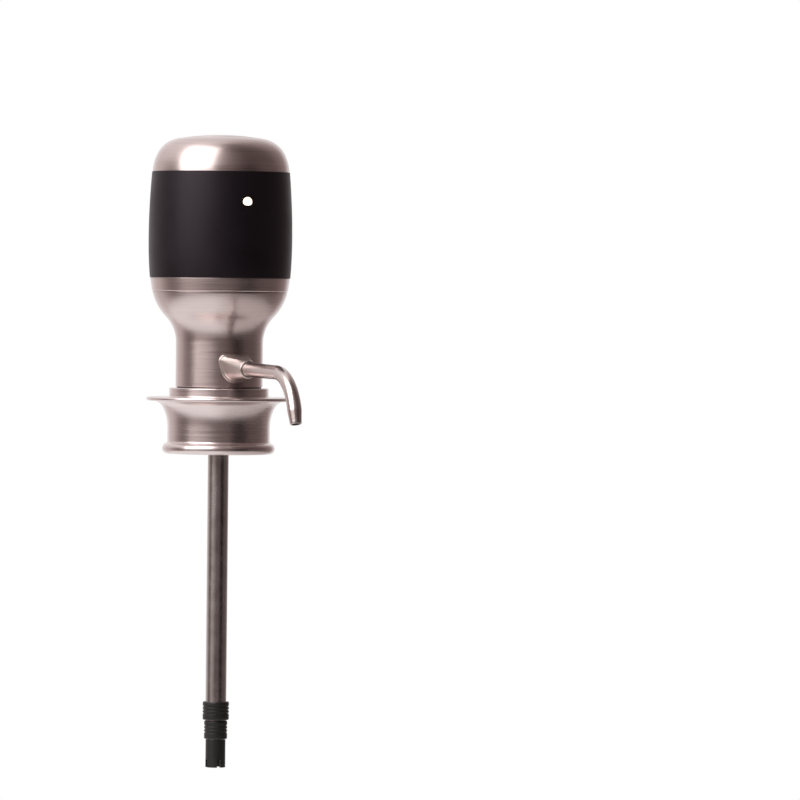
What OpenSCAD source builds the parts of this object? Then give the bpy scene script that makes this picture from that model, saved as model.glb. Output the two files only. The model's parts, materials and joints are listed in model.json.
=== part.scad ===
// Electric wine aerator. A push-button head with its batteries locks onto a steel pump housing,
// which plugs into a bottle's mouth, pours through a bent spout and draws through a telescopic tube.
// Origin: centre of the bottle's mouth, level with its lip. +Z is up, the spout points to -Y.

/* [Bottle collar] */
// Outer radius of the skirt round the bottle's neck
skirt_r = 19.55; // [18.8:0.05:20.4]
// Wall of the skirt
skirt_wall = 1.3; // [1:0.1:1.8]
// Drop of the skirt below the bottle's lip
skirt_drop = 18.4; // [18:0.1:24]
// Height of the rolled bead at the foot of the skirt
bead_h = 4.1; // [3.6:0.1:5]
// How far the bead stands out from the skirt
bead_out = 1.95; // [1.2:0.05:2.4]
// Radius of the drip brim
brim_r = 27.7; // [27:0.1:30]
// Thickness of the brim's edge
brim_t = 1.4; // [0.9:0.1:1.6]
// Height of the brim's top above the lip
brim_z = 3.2; // [3:0.1:4]
// Width of the flat margin under the brim's edge
brim_margin = 2.2; // [1.5:0.1:3]
// Radius of the long lower arc of the cove under the brim
cove_low_r = 16; // [12:0.5:18]
// Lean at which the two arcs of the cove meet
cove_lean = 28; // [20:1:35]
// Radius of the step ring on the brim
step_r = 19; // [18:0.05:20]
// Height of the step ring
step_h = 3.5; // [3:0.1:5]
// Thickness of the gasket between step ring and neck
gasket_t = 0.4; // [0.3:0.05:0.8]

/* [Bottle seal] */
// Thickness of the seal's flange, which rests on the bottle's lip
seal_t = 2.2; // [1.8:0.1:2.6]
// Radius of the seal's ribs, a tight fit in a bottle's mouth
rib_r = 9.6; // [9.2:0.05:10]
// Radius of the plug between its ribs
plug_r = 8.6; // [8.4:0.05:9]
// Number of ribs
rib_count = 4; // [3:1:5]
// Spacing of the ribs
rib_pitch = 4.3; // [3.6:0.1:4.8]
// Height of a rib's cylindrical land
rib_land = 2.4; // [1.6:0.1:2.6]
// Length of the plug's nose below the last rib
nose_l = 2.2; // [1.5:0.1:3]

/* [Pump housing] */
// Outer radius of the neck
neck_r = 16.6; // [16:0.1:18]
// Wall of the pump housing
housing_wall = 1.4; // [1:0.1:1.6]
// Radius of the hollow arc between neck and bowl
flare_r = 14; // [11:0.5:15]
// Lean at which the hollow arc turns into the bowl
flare_lean = 44; // [42:1:46]
// Radius of the bowl's arc
bowl_r = 20.6; // [20:0.1:22]
// Lean of the bowl at its rim
rim_lean = 13; // [11:1:15]

/* [Spout] */
// Height of the spout's axis above the foot of the neck
spout_up = 7.7; // [7.4:0.1:9.5]
// Downward tilt of the spout
spout_tilt = 1.2; // [0:0.1:4]
// Outer radius of the spout
spout_r = 2.7; // [2.4:0.1:3]
// Wall of the spout
spout_wall = 0.5; // [0.4:0.05:0.6]
// Straight run of the spout from the neck's axis to its bend
spout_run = 57; // [50:0.1:70]
// Radius of the spout's bend
bend_r = 19; // [14:0.5:22]
// Turn of the spout's bend
bend_turn = 73; // [65:0.5:85]
// Length of the tapered tip
tip_l = 5.3; // [3:0.1:10]
// Outer radius at the end of the tip
tip_r = 2.15; // [1.8:0.05:2.4]
// Radius of the boss's round foot at the neck
boss_r = 4.95; // [4.6:0.05:5.4]
// Height of the boss's flat top above the spout's axis, at the neck
boss_top = 4.5; // [4.2:0.1:5]
// Lean of the boss's flat sides, which open towards the top
boss_lean = 16; // [10:1:22]
// Radius of the boss's two upper corners at the neck
boss_corner_r = 6.6; // [6.2:0.1:7.2]
// How far the flange that hugs the neck stands out round the boss
boss_flange_out = 0.7; // [0.4:0.05:1]
// Thickness of that flange
boss_flange_t = 0.9; // [0.6:0.1:1.4]
// Radius of the boss at its round outer end
boss_end_r = 3.45; // [3.3:0.05:4]
// Distance of the boss's outer end from the neck's axis
boss_reach = 29.5; // [26:0.5:34]

/* [Drive] */
// Radius of the motor
motor_r = 10; // [8.5:0.1:10.2]
// Length of the motor
motor_l = 14.4; // [12:0.1:18]
// Radius of the motor's shaft
shaft_r = 1; // [0.8:0.05:1.2]
// Throw of the eccentric
crank_throw = 1.2; // [0.8:0.1:1.4]
// Radius of the eccentric
crank_r = 3.4; // [3:0.1:3.6]
// Thickness of the eccentric
crank_t = 3.2; // [2.6:0.1:3.6]
// Radius of the frame's posts
post_r = 1.9; // [1.7:0.05:2]
// Radius of the pump's diaphragm
diaphragm_r = 4.2; // [3.8:0.1:4.4]
// Thickness of the diaphragm
diaphragm_t = 1; // [0.8:0.1:1.2]
// Thickness of the valve head
valve_t = 3.4; // [3:0.1:3.8]
// Outer radius of the air hose
hose_r = 1.8; // [1.7:0.05:1.9]

/* [Head] */
// Height of the steel ring under the sleeve
ring_h = 4.8; // [4.2:0.1:6]
// Groove between pump housing and head
part_gap = 0.4; // [0.3:0.05:0.6]
// How far the sleeve stands proud of the steel above and below it
sleeve_proud = 0.15; // [0.1:0.05:0.4]
// Radius of the sleeve at its belly
belly_r = 27.4; // [27.2:0.05:28.5]
// Height of the belly above the sleeve's foot
belly_up = 14.5; // [10:0.5:25]
// Radius of the sleeve's long curve above the belly
belly_high_r = 296; // [250:1:400]
// Radius of the sleeve's long curve below the belly
belly_low_r = 175; // [140:1:300]
// Thinnest wall of the sleeve
sleeve_wall = 1.9; // [1.5:0.1:2.2]
// Radius of the dome's side arc
dome_side_r = 17; // [16:0.5:22]
// Radius of the dome's shoulder arc
dome_shoulder_r = 10.8; // [10:0.1:12]
// Wall of the dome
dome_wall = 1.2; // [1:0.1:1.4]
// Turn that frees the head from its bayonet
head_turn = 25; // [20:1:30]
// Radius of the lit lens
lens_r = 1.9; // [1.5:0.1:2.2]
// Drop of the lens below the sleeve's top
lens_drop = 11.7; // [8:0.1:20]

/* [Button] */
// Radius of the button
button_r = 13; // [11:0.5:14]
// Travel of the button
button_travel = 1.5; // [1:0.1:1.8]
// Thickness of the button's face
button_t = 1.6; // [1.2:0.1:2]
// Wire diameter of the return spring
spring_wire = 0.7; // [0.5:0.05:0.8]
// Turns of the return spring
spring_turns = 4; // [3:0.5:4.5]

/* [Batteries] */
// Diameter of a cell
cell_d = 10.5; // [10:0.1:10.6]
// Length of a cell with its nub
cell_l = 44.5; // [43.5:0.1:46]
// Number of cells
cell_count = 6; // [4:2:6]

/* [Dip tube] */
// Outer radius of the upper section
tube_r = 4; // [3.8:0.05:4.2]
// Wall of each section
tube_wall = 0.5; // [0.4:0.05:0.6]
// How far the upper section reaches below the lip
tube_drop = 118; // [110:1:125]
// Travel of each sliding section
tube_travel = 100; // [80:1:102]
// Height of a gland
gland_h = 7; // [6:0.5:9]
// Height of the foot
foot_h = 10.5; // [9:0.5:13]

/* [Hidden] */
$fn = 96;

// Facets of the long shallow arcs
long_fn = 720;
// Extra depth of a cut past the face that it opens
cut = 1;

// Clearances: seated pieces, press fits, turning or sliding pieces, and tubes in tubes
seat_gap = 0.1;
press_gap = 0.02;
run_gap = 0.3;
slide_gap = 0.1;
bearing_gap = 0.05;

// Heights from the lip up to the foot of the neck
step_z = brim_z + step_h;
neck_z = step_z + gasket_t;
brim_under = brim_z - brim_t;
collar_bore_r = skirt_r - skirt_wall;
bead_r = bead_h / 2;
step_edge = 0.4;
gasket_inset = 0.5;

// Cove: the lower arc starts upright on the skirt, the upper one ends level at the brim's margin
cove_mid_r = skirt_r + cove_low_r * (1 - cos(cove_lean));
cove_top_r = brim_r - brim_margin;
cove_high_r = (cove_top_r - cove_mid_r) / cos(cove_lean);
cove_mid_z = brim_under - cove_high_r * (1 - sin(cove_lean));
cove_foot_z = cove_mid_z - cove_low_r * sin(cove_lean);
// How far the upper arc bites into the lower one where they meet
cove_bite = 0.05;

// Dip tube: each section slides in the one above it
middle_r = tube_r - tube_wall - slide_gap;
lower_r = middle_r - tube_wall - slide_gap;
gland_wall = 1;
gland_lip = 2;
gland_step = 0.3;
socket_wall = 1.6;
socket_r = tube_r + socket_wall;
socket_rise = 5.8;
tube_top = brim_z + socket_rise;
tube_overlap = 16;
middle_top = tube_travel + tube_overlap - tube_drop;
gland_outer_z = -tube_drop - gland_lip;
middle_end = gland_outer_z - gland_step - gland_h + gland_lip;
lower_top = middle_end + tube_travel + tube_overlap;
gland_middle_z = middle_end - gland_lip;
foot_z = gland_middle_z - gland_step - foot_h;
lower_end = foot_z + foot_h / 2;

// Seal: air comes in through the deck and goes down a hole in the plug
rib_lead = 0.8;
seal_r = collar_bore_r - seat_gap;
nose_z = -(rib_count - 1) * rib_pitch - rib_land - rib_lead - nose_l;
nose_taper = 0.5;
nose_r = plug_r - nose_taper;
air_hole_r = 1.1;
air_hole_y = (tube_r + plug_r) / 2;
air_groove_h = 1.2;

// Drive, stacked upwards from the spout's axis
spout_z = neck_z + spout_up;
elbow_wall = 1.1;
elbow_r = spout_r + elbow_wall;
// How far the elbow's corner swells past its arms
elbow_swell = 0.08;
stack_gap = 0.6;
crank_z = spout_z + elbow_r + stack_gap;
crank_mid_z = crank_z + crank_t / 2;
plate_z = crank_z + crank_t + stack_gap;
plate_t = 2.4;
motor_z = plate_z + plate_t;
motor_top = motor_z + motor_l;
terminal_h = 0.4;
deck_z = motor_top + terminal_h + seat_gap;
deck_t = 2;
deck_top = deck_z + deck_t;
rim_rise = 1.2;
rim_z = deck_top + rim_rise;

// Housing outline: hollow arc, then the bowl's arc, tangent where they meet
flare_top_z = rim_z - bowl_r * (sin(flare_lean) - sin(rim_lean));
flare_z = flare_top_z - flare_r * sin(flare_lean);
flare_top_r = neck_r + flare_r * (1 - cos(flare_lean));
bowl_mid_r = flare_top_r - bowl_r * cos(flare_lean);
bowl_mid_z = flare_top_z + bowl_r * sin(flare_lean);
rim_r = bowl_mid_r + bowl_r * cos(rim_lean);
neck_bore_r = neck_r - housing_wall;
bowl_bore_r = bowl_r - housing_wall;
deck_r = bowl_mid_r + sqrt(pow(bowl_bore_r, 2) - pow(bowl_mid_z - deck_z, 2)) - seat_gap;

// Frame and pump in the neck
frame_r = neck_bore_r - seat_gap;
frame_ring_r = 11;
frame_ring_h = 2.6;
post_ring_r = frame_r - seat_gap - post_r;
post_count = 4;
post_start = 45;
motor_boss_r = 3;
motor_boss_h = 2;
block_side = 1.2;
block_w = 2 * (diaphragm_r + block_side);
valve_back_y = sqrt(pow(frame_r - run_gap, 2) - pow(block_w / 2, 2));
valve_y = valve_back_y - valve_t;
diaphragm_y = valve_y - diaphragm_t;
eye_wall = 1.5;
eye_gap = 0.7;
block_y = crank_throw + crank_r + eye_wall + eye_gap;
block_floor = 0.4;
block_foot_z = crank_mid_z - diaphragm_r - block_floor;
valve_top_z = crank_mid_z + diaphragm_r + 2 * seat_gap;
rod_w = 3;
clamp_w = 0.8;
nozzle_r = 1.1;
nozzle_l = 3;
nozzle_y = valve_y + valve_t / 2;
hose_top_z = block_foot_z - seat_gap;

// Screws
screw_r = 1.1;
screw_head_r = 1.9;
screw_head_h = 1.3;
screw_grip = 7;

// Spout: the tip is swaged, so it starts a little inside the end of the bend
spout_start = 9.2;
tip_lap = 0.5;
tip_step = 0.05;
oring_r = 0.3;
oring_ring_r = spout_r + oring_r + seat_gap / 2;
oring_out_r = oring_ring_r + oring_r;
oring_y = sqrt(pow(neck_bore_r, 2) - pow(oring_out_r, 2)) - oring_r - 2 * seat_gap;
elbow_end = oring_y - oring_r - bearing_gap;
boss_edge = 0.4;
boss_end_margin = 0.15;
boss_side_bite = 0.1;
boss_l = boss_reach - boss_edge - neck_r;

// Head: bayonet, ring and sleeve
head_z = rim_z + part_gap;
ring_top = head_z + ring_h;
ring_lip = 3;
head_bore_r = rim_r - ring_lip;
spigot_r = head_bore_r - run_gap;
spigot_wall = 1.7;
spigot_top = ring_top - stack_gap;
lug_out = 0.9;
lug_h = 1.5;
lug_up = 1.1;
lug_z = head_z + lug_up;
lug_turn = 18;
lug_count = 3;
lug_play = 1.5;
lap_h = 3.6;
ring_edge = 0.3;

// Batteries, stacked upwards from the deck's contact pins
pin_r = 1.1;
pin_rise = 0.7;
carrier_z = deck_top + pin_rise + run_gap;
carrier_t = 1.2;
contact_t = 0.35;
leaf_rise = 0.6;
cell_r = cell_d / 2;
cell_z = carrier_z + carrier_t + contact_t + leaf_rise;
cell_top = cell_z + cell_l;
upper_contact_z = cell_top + bearing_gap;
carrier_plate_z = upper_contact_z + contact_t;
carrier_top = carrier_plate_z + carrier_t;
carrier_r = spigot_r - spigot_wall - run_gap;
cell_inset = 0.15;
cell_ring_r = carrier_r - cell_inset - cell_r;
core_gap = 0.6;
core_r = cell_ring_r - cell_r - core_gap;
core_wall = 1.2;
fin_t = 1.4;
ring_track_w = 2.4;
ring_track_t = 0.4;
inner_track_r = 4.5;
outer_track_r = 7.7;
nub_r = 1.9;
nub_h = 0.8;
cell_step = 360 / cell_count;
bridge_w = 5;
bridge_lap = 9;

// Sleeve and dome outline
sleeve_z = ring_top;
dome_lap = 0.85;
sleeve_top = cell_top - dome_lap;
belly_z = sleeve_z + belly_up;
function belly_drop(r, rise) = r - sqrt(r * r - rise * rise);
sleeve_foot_r = belly_r - belly_drop(belly_low_r, belly_up);
sleeve_head_r = belly_r - belly_drop(belly_high_r, sleeve_top - belly_z);
sleeve_bore_r = min(sleeve_foot_r, sleeve_head_r) - sleeve_wall;
ring_step = 0.15;
ring_foot_r = rim_r + ring_step;
ring_head_r = sleeve_foot_r - sleeve_proud;
dome_r = sleeve_head_r - sleeve_proud;
dome_lean = [3, 28, 80];
dome_side = [dome_r - dome_side_r * cos(dome_lean[0]), sleeve_top - dome_side_r * sin(dome_lean[0])];
dome_lift = dome_side_r - dome_shoulder_r;
dome_shoulder = dome_side + dome_lift * [cos(dome_lean[1]), sin(dome_lean[1])];
crown_edge = dome_shoulder + dome_shoulder_r * [cos(dome_lean[2]), sin(dome_lean[2])];
crown_r = crown_edge[0] / cos(dome_lean[2]);
crown_mid_z = crown_edge[1] - crown_r * sin(dome_lean[2]);
dome_web = 1.1;
dome_spigot_wall = 1.3;
dome_spigot_r = sleeve_bore_r - seat_gap;
function crown_z(r, wall) = crown_mid_z + sqrt(pow(crown_r - wall, 2) - r * r);

// Button, board and switch under the dome
button_hole_r = button_r + run_gap;
button_lip = 1.2;
flange_r = button_r + button_lip;
flange_t = 0.9;
flange_top = crown_z(flange_r, dome_wall) - run_gap;
button_skirt = 1.1;
guide_z = carrier_top + bearing_gap;
guide_t = 0.8;
guide_wall = 1.4;
guide_bore_r = flange_r + run_gap;
guide_disc_r = dome_spigot_r - dome_spigot_wall - 2 * seat_gap;
guide_wall_r = guide_bore_r + guide_wall;
guide_top = crown_z(guide_wall_r, dome_wall) - run_gap;
board_z = guide_z + guide_t;
board_t = 1;
board_r = guide_bore_r - seat_gap;
switch_z = board_z + board_t;
switch_w = 6;
switch_h = 2.2;
plunger_r = 1.7;
plunger_h = 0.5;
plunger_top = switch_z + switch_h + plunger_h;
stem_r = 2.2;
stem_z = plunger_top + button_travel + seat_gap;
face_under = crown_mid_z + crown_r - button_t;
spring_r = 6;
spring_sides = 6;
spring_rings = 8;
spring_low_z = switch_z + spring_wire / 2 + bearing_gap;
spring_high_z = crown_z(spring_r + spring_wire, button_t) - spring_wire / 2 - bearing_gap;

// Lens and its board, in the front of the sleeve
lens_z = sleeve_top - lens_drop;
lens_proud = 0.12;
lens_face_y = belly_r - belly_drop(belly_high_r, lens_z - belly_z) + lens_proud;
lens_lip = 0.7;
lens_flange_r = lens_r + lens_lip;
lens_flange_t = 0.7;
lens_back_y = sqrt(pow(sleeve_bore_r, 2) - pow(lens_flange_r, 2)) - seat_gap;
lens_dome_r = 9;
strip_w = 5;
strip_t = 0.6;
strip_y = lens_back_y - lens_flange_t - bearing_gap;
strip_below = 4;
strip_foot_z = lens_z - strip_below;
strip_head_z = sleeve_top - lap_h - seat_gap;

steel = "#b8b1ae";
soft_black = "#1c1b1c";
white_plastic = "#d9d6d0";
grey_plastic = "#6d6f73";
silicone = "#3a3a3c";
brass = "#c9a14a";
board_green = "#2f6b46";

// A rectangle of a turned outline, from radius r0 to r1 and height z0 to z1
module rz(r0, r1, z0, z1) {
    translate([r0, z0]) square([r1 - r0, z1 - z0]);
}

// A straight tube standing on z = 0
module pipe(r_out, r_in, h) {
    difference() {
        cylinder(r = r_out, h = h);
        translate([0, 0, -cut]) cylinder(r = r_in, h = h + 2 * cut);
    }
}

// Copies on a circle
module round_copies(r, count, start = 0) {
    for (i = [0:count - 1])
        rotate([0, 0, start + 360 / count * i]) translate([r, 0, 0]) children();
}

// Part of a ring: radius r0 to r1, height z0 to z1, from angle start over angle turn
module ring_part(r0, r1, z0, z1, start, turn) {
    rotate([0, 0, start]) rotate_extrude(angle = turn) rz(r0, r1, z0, z1);
}

// Places children on the spout's axis: their z runs outwards along the spout, their y is up
module along_spout() {
    translate([0, 0, spout_z]) rotate([spout_tilt, 0, 0]) rotate([90, 0, 0]) children();
}

// Places children on a level axis that points to the back, at height z: their z runs to +Y
module along_back(z) {
    translate([0, 0, z]) rotate([-90, 0, 0]) children();
}

module collar_outline() {
    rz(0, skirt_r, -skirt_drop, brim_z);
    translate([skirt_r + bead_out - bead_r, bead_r - skirt_drop]) circle(r = bead_r);
    difference() {
        rz(0, cove_top_r, cove_foot_z, brim_z);
        intersection() {
            rz(0, brim_r, cove_foot_z - cut, cove_mid_z);
            translate([skirt_r + cove_low_r, cove_foot_z]) circle(r = cove_low_r);
        }
        translate([cove_top_r, brim_under - cove_high_r - cove_bite]) circle(r = cove_high_r + cove_bite);
    }
    rz(0, brim_r - brim_t / 2, brim_under, brim_z);
    translate([brim_r - brim_t / 2, brim_under + brim_t / 2]) circle(r = brim_t / 2);
    rz(0, step_r, brim_under, step_z - step_edge);
    rz(0, step_r - step_edge, brim_under, step_z);
    translate([step_r - step_edge, step_z - step_edge]) circle(r = step_edge);
}

module base_collar() {
    color(steel) difference() {
        rotate_extrude() difference() {
            collar_outline();
            rz(0, collar_bore_r, -skirt_drop - cut, seal_t);
            rz(0, socket_r + 2 * seat_gap, seal_t - cut, step_z + cut);
        }
        translate([0, nozzle_y, 0]) cylinder(r = hose_r + bearing_gap, h = step_z + cut);
        round_copies(post_ring_r, post_count, post_start) {
            cylinder(r = screw_r + seat_gap, h = step_z + cut);
            cylinder(r = screw_head_r + seat_gap, h = seal_t + screw_head_h);
        }
    }
}

// Outline of one rib, from the plug above it to its lead below: the first one starts at the flange
function rib_points(i) = let (z = -i * rib_pitch) concat(
    i > 0 ? [[plug_r, z]] : [],
    [[rib_r, z], [rib_r, z - rib_land], [plug_r, z - rib_land - rib_lead]]
);

module bottle_seal() {
    color(silicone) difference() {
        rotate_extrude() polygon(concat(
            [[0, seal_t], [seal_r, seal_t], [seal_r, 0]],
            [for (i = [0:rib_count - 1]) each rib_points(i)],
            [[nose_r, nose_z], [0, nose_z]]
        ));
        translate([0, 0, nose_z - cut]) cylinder(r = tube_r + press_gap, h = seal_t - nose_z + 2 * cut);
        translate([0, air_hole_y, nose_z - cut]) cylinder(r = air_hole_r, h = seal_t - nose_z + 2 * cut);
        translate([-air_hole_r, air_hole_y, seal_t - air_groove_h])
            cube([2 * air_hole_r, nozzle_y - air_hole_y, air_groove_h + cut]);
    }
}

module base_gasket() {
    color(silicone) translate([0, 0, step_z]) pipe(neck_r - gasket_inset, frame_r + seat_gap / 2, gasket_t);
}

// Outline of the housing, set in by a wall and lengthened by extra at both rims
module housing_outline(wall, extra) {
    shift = [cos(flare_lean), -sin(flare_lean)] * wall;
    mid_r = flare_top_r - shift[0];
    mid_z = flare_top_z - shift[1];
    rz(0, neck_r - wall, neck_z - extra, mid_z);
    difference() {
        rz(0, mid_r, flare_z, mid_z);
        translate([neck_r + flare_r, flare_z]) circle(r = flare_r + wall);
    }
    intersection() {
        rz(0, rim_r, flare_z, rim_z + extra);
        translate([bowl_mid_r, bowl_mid_z]) circle(r = bowl_r - wall);
    }
}

module pump_housing() {
    color(steel) difference() {
        rotate_extrude() difference() {
            housing_outline(0, 0);
            housing_outline(housing_wall, cut);
        }
        along_spout() translate([0, 0, spout_start]) cylinder(r = spout_r + seat_gap, h = neck_r);
    }
}

// The posts are drilled from both ends for their screws
module inner_frame() {
    color(grey_plastic) difference() {
        union() {
            translate([0, 0, step_z]) pipe(frame_r, frame_ring_r, frame_ring_h);
            translate([0, 0, plate_z]) pipe(frame_r, motor_boss_r + seat_gap, plate_t);
            round_copies(post_ring_r, post_count, post_start)
                translate([0, 0, step_z]) cylinder(r = post_r, h = deck_z - step_z);
        }
        round_copies(post_ring_r, post_count, post_start) {
            translate([0, 0, step_z - cut]) cylinder(r = screw_r + press_gap, h = screw_grip + 2 * cut);
            translate([0, 0, deck_z - screw_grip - cut])
                cylinder(r = screw_r + press_gap, h = screw_grip + 2 * cut);
        }
        translate([0, nozzle_y, step_z - cut])
            cylinder(r = hose_r + run_gap, h = frame_ring_h + 2 * cut);
        translate([-block_w / 2 - run_gap, diaphragm_y - run_gap, plate_z - cut])
            cube([block_w + 2 * run_gap, frame_r, plate_t + 2 * cut]);
    }
}

// A screw that points up, its head standing on z = 0
module screw(grip) {
    difference() {
        union() {
            cylinder(r = screw_head_r, h = screw_head_h);
            cylinder(r = screw_r, h = grip);
        }
        translate([0, 0, -cut]) cylinder(r = screw_r, h = cut + screw_head_h / 2, $fn = 6);
    }
}

module frame_screws() {
    color(steel) round_copies(post_ring_r, post_count, post_start)
        translate([0, 0, seal_t]) screw(step_z - seal_t + screw_grip);
}

module deck_screws() {
    color(steel) round_copies(post_ring_r, post_count, post_start)
        translate([0, 0, deck_top]) mirror([0, 0, 1]) screw(deck_t + screw_grip);
}

module contact_deck() {
    color(grey_plastic) difference() {
        union() {
            translate([0, 0, deck_z]) cylinder(r = deck_r, h = deck_t);
            translate([0, 0, deck_z]) pipe(spigot_r, spigot_r - spigot_wall, spigot_top - deck_z);
            for (i = [0:lug_count - 1])
                ring_part(spigot_r - lug_out, spigot_r + lug_out, lug_z, lug_z + lug_h,
                    i * 360 / lug_count, lug_turn);
        }
        round_copies(post_ring_r, post_count, post_start) {
            translate([0, 0, deck_z - cut]) cylinder(r = screw_r + seat_gap, h = deck_t + 2 * cut);
            translate([0, 0, deck_top - screw_head_h])
                cylinder(r = screw_head_r + seat_gap, h = screw_head_h + cut);
        }
        pin_places() translate([0, 0, deck_z - cut]) cylinder(r = pin_r + press_gap, h = deck_t + 2 * cut);
    }
}

// One pin under each ring of the battery carrier
module pin_places() {
    translate([inner_track_r, 0, 0]) children();
    translate([-outer_track_r, 0, 0]) children();
}

module contact_pins() {
    color(brass) pin_places() translate([0, 0, motor_top + terminal_h])
        cylinder(r = pin_r, h = deck_top + pin_rise - motor_top - terminal_h);
}

module drive_motor() {
    edge = 1;
    color("#9c9a98") difference() {
        union() {
            translate([0, 0, motor_z]) rotate_extrude() {
                rz(0, motor_r - edge, 0, motor_l);
                rz(0, motor_r, edge, motor_l - edge);
                translate([motor_r - edge, edge]) circle(r = edge);
                translate([motor_r - edge, motor_l - edge]) circle(r = edge);
            }
            translate([0, 0, motor_z - motor_boss_h]) cylinder(r = motor_boss_r, h = motor_boss_h);
            pin_places() translate([-pin_r, -pin_r, motor_top]) cube([2 * pin_r, 2 * pin_r, terminal_h]);
        }
        translate([0, 0, motor_z - motor_boss_h - cut])
            cylinder(r = shaft_r + bearing_gap, h = motor_boss_h + cut + motor_l / 2);
    }
}

module motor_shaft() {
    color("#cfcfd2") translate([0, 0, crank_z])
        cylinder(r = shaft_r, h = motor_z - crank_z + motor_l / 2 - seat_gap);
}

module eccentric() {
    color(brass) difference() {
        translate([0, crank_throw, crank_z]) cylinder(r = crank_r, h = crank_t);
        translate([0, 0, crank_z - cut]) cylinder(r = shaft_r + press_gap, h = crank_t + 2 * cut);
    }
}

// One rubber piece: the rod's eye runs on the eccentric, the rod moves the diaphragm
module diaphragm() {
    rod_h = crank_t - 2 * seat_gap;
    color(silicone) {
        translate([0, 0, crank_z + seat_gap]) difference() {
            union() {
                translate([0, crank_throw, 0]) cylinder(r = crank_r + eye_wall, h = rod_h);
                translate([-rod_w / 2, crank_throw, 0])
                    cube([rod_w, diaphragm_y - crank_throw + bearing_gap, rod_h]);
            }
            translate([0, crank_throw, -cut]) cylinder(r = crank_r + bearing_gap, h = rod_h + 2 * cut);
        }
        along_back(crank_mid_z) translate([0, 0, diaphragm_y]) cylinder(r = diaphragm_r, h = diaphragm_t);
    }
}

module pump_block() {
    color(grey_plastic) difference() {
        translate([-block_w / 2, block_y, block_foot_z])
            cube([block_w, diaphragm_y - block_y, plate_z - block_foot_z]);
        along_back(crank_mid_z) translate([0, 0, block_y - cut])
            cylinder(r = diaphragm_r - clamp_w, h = diaphragm_y - block_y + 2 * cut);
    }
}

module valve_head() {
    color(white_plastic) difference() {
        union() {
            translate([-block_w / 2, valve_y, block_foot_z])
                cube([block_w, valve_t, valve_top_z - block_foot_z]);
            translate([0, nozzle_y, block_foot_z - nozzle_l])
                cylinder(r = nozzle_r, h = nozzle_l + nozzle_r);
        }
        along_back(crank_mid_z) translate([0, 0, valve_y - cut])
            cylinder(r = diaphragm_r - clamp_w, h = cut + valve_t / 2);
        translate([0, nozzle_y, block_foot_z - nozzle_l - cut])
            cylinder(r = nozzle_r / 2, h = nozzle_l + 3 * cut);
    }
}

module air_hose() {
    color("#e6e4df") translate([0, nozzle_y, seal_t])
        pipe(hose_r, nozzle_r + press_gap, hose_top_z - seal_t);
}

module wine_elbow() {
    wine_r = spout_r - spout_wall;
    socket_top = tube_top + elbow_wall;
    color(white_plastic) difference() {
        union() {
            translate([0, 0, seal_t]) cylinder(r = socket_r, h = socket_top - seal_t);
            translate([0, 0, seal_t]) cylinder(r = elbow_r, h = spout_z - seal_t);
            translate([0, 0, spout_z]) sphere(r = elbow_r + elbow_swell);
            along_spout() cylinder(r = elbow_r, h = elbow_end);
        }
        translate([0, 0, seal_t - cut]) cylinder(r = tube_r + press_gap, h = tube_top - seal_t + cut);
        translate([0, 0, seal_t]) cylinder(r = wine_r, h = spout_z - seal_t);
        translate([0, 0, spout_z]) sphere(r = wine_r + elbow_swell);
        along_spout() cylinder(r = wine_r, h = elbow_end + cut);
        along_spout() translate([0, 0, spout_start - seat_gap])
            cylinder(r = spout_r + press_gap, h = elbow_end);
    }
}

module spout_seal() {
    color(silicone) along_spout() translate([0, 0, oring_y])
        rotate_extrude() translate([oring_ring_r, 0]) circle(r = oring_r, $fn = 32);
}

// The space inside one flat face of the boss: the way it faces, and its distances at the neck and at the end
module boss_face(turn, distances) {
    side = 4 * neck_r;
    rotate([0, 0, turn]) translate([distances[0], 0, neck_r])
        rotate([0, -atan((distances[0] - distances[1]) / boss_l), 0])
            translate([-side, -side / 2, -side / 2]) cube(side);
}

// A cone along the spout, with its radii at the neck and at the boss's end
module boss_cone(radii) {
    slope = (radii[0] - radii[1]) / boss_l;
    cylinder(r1 = radii[0] + slope * neck_r, r2 = radii[1], h = neck_r + boss_l);
}

// Round below, with flat sides that open to two corners above, and a flat top: sizes at the neck and at the end
module boss_form(radii, corner_radii, tops) {
    sides = [radii[0] - boss_side_bite, radii[1] - boss_side_bite];
    intersection() {
        boss_face(90, tops);
        union() {
            boss_cone(radii);
            intersection() {
                boss_cone(corner_radii);
                boss_face(-boss_lean, sides);
                boss_face(180 + boss_lean, sides);
                boss_face(-90, sin(boss_lean) * radii);
            }
        }
    }
}

module boss_body() {
    boss_form([boss_r, boss_end_r], [boss_corner_r, boss_end_r - boss_side_bite],
              [boss_top, boss_end_r + boss_end_margin]);
}

module boss_flange() {
    even = [1, 1];
    intersection() {
        boss_form((boss_r + boss_flange_out) * even, (boss_corner_r + boss_flange_out) * even,
                  (boss_top + boss_flange_out) * even);
        rotate([-90, 0, 0]) rotate([-spout_tilt, 0, 0])
            cylinder(r = neck_r + boss_flange_t, h = 4 * boss_corner_r, center = true);
    }
}

module spout_boss() {
    color(steel) difference() {
        along_spout() {
            boss_flange();
            boss_body();
            translate([0, 0, boss_reach - boss_edge])
                cylinder(r1 = boss_end_r, r2 = boss_end_r - boss_edge, h = boss_edge);
        }
        cylinder(r = neck_r + press_gap, h = rim_z);
        translate([-rim_r, 0, 0]) cube([2 * rim_r, 2 * rim_r, rim_z]);
        along_spout() cylinder(r = spout_r + bearing_gap, h = boss_reach + cut);
    }
}

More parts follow.
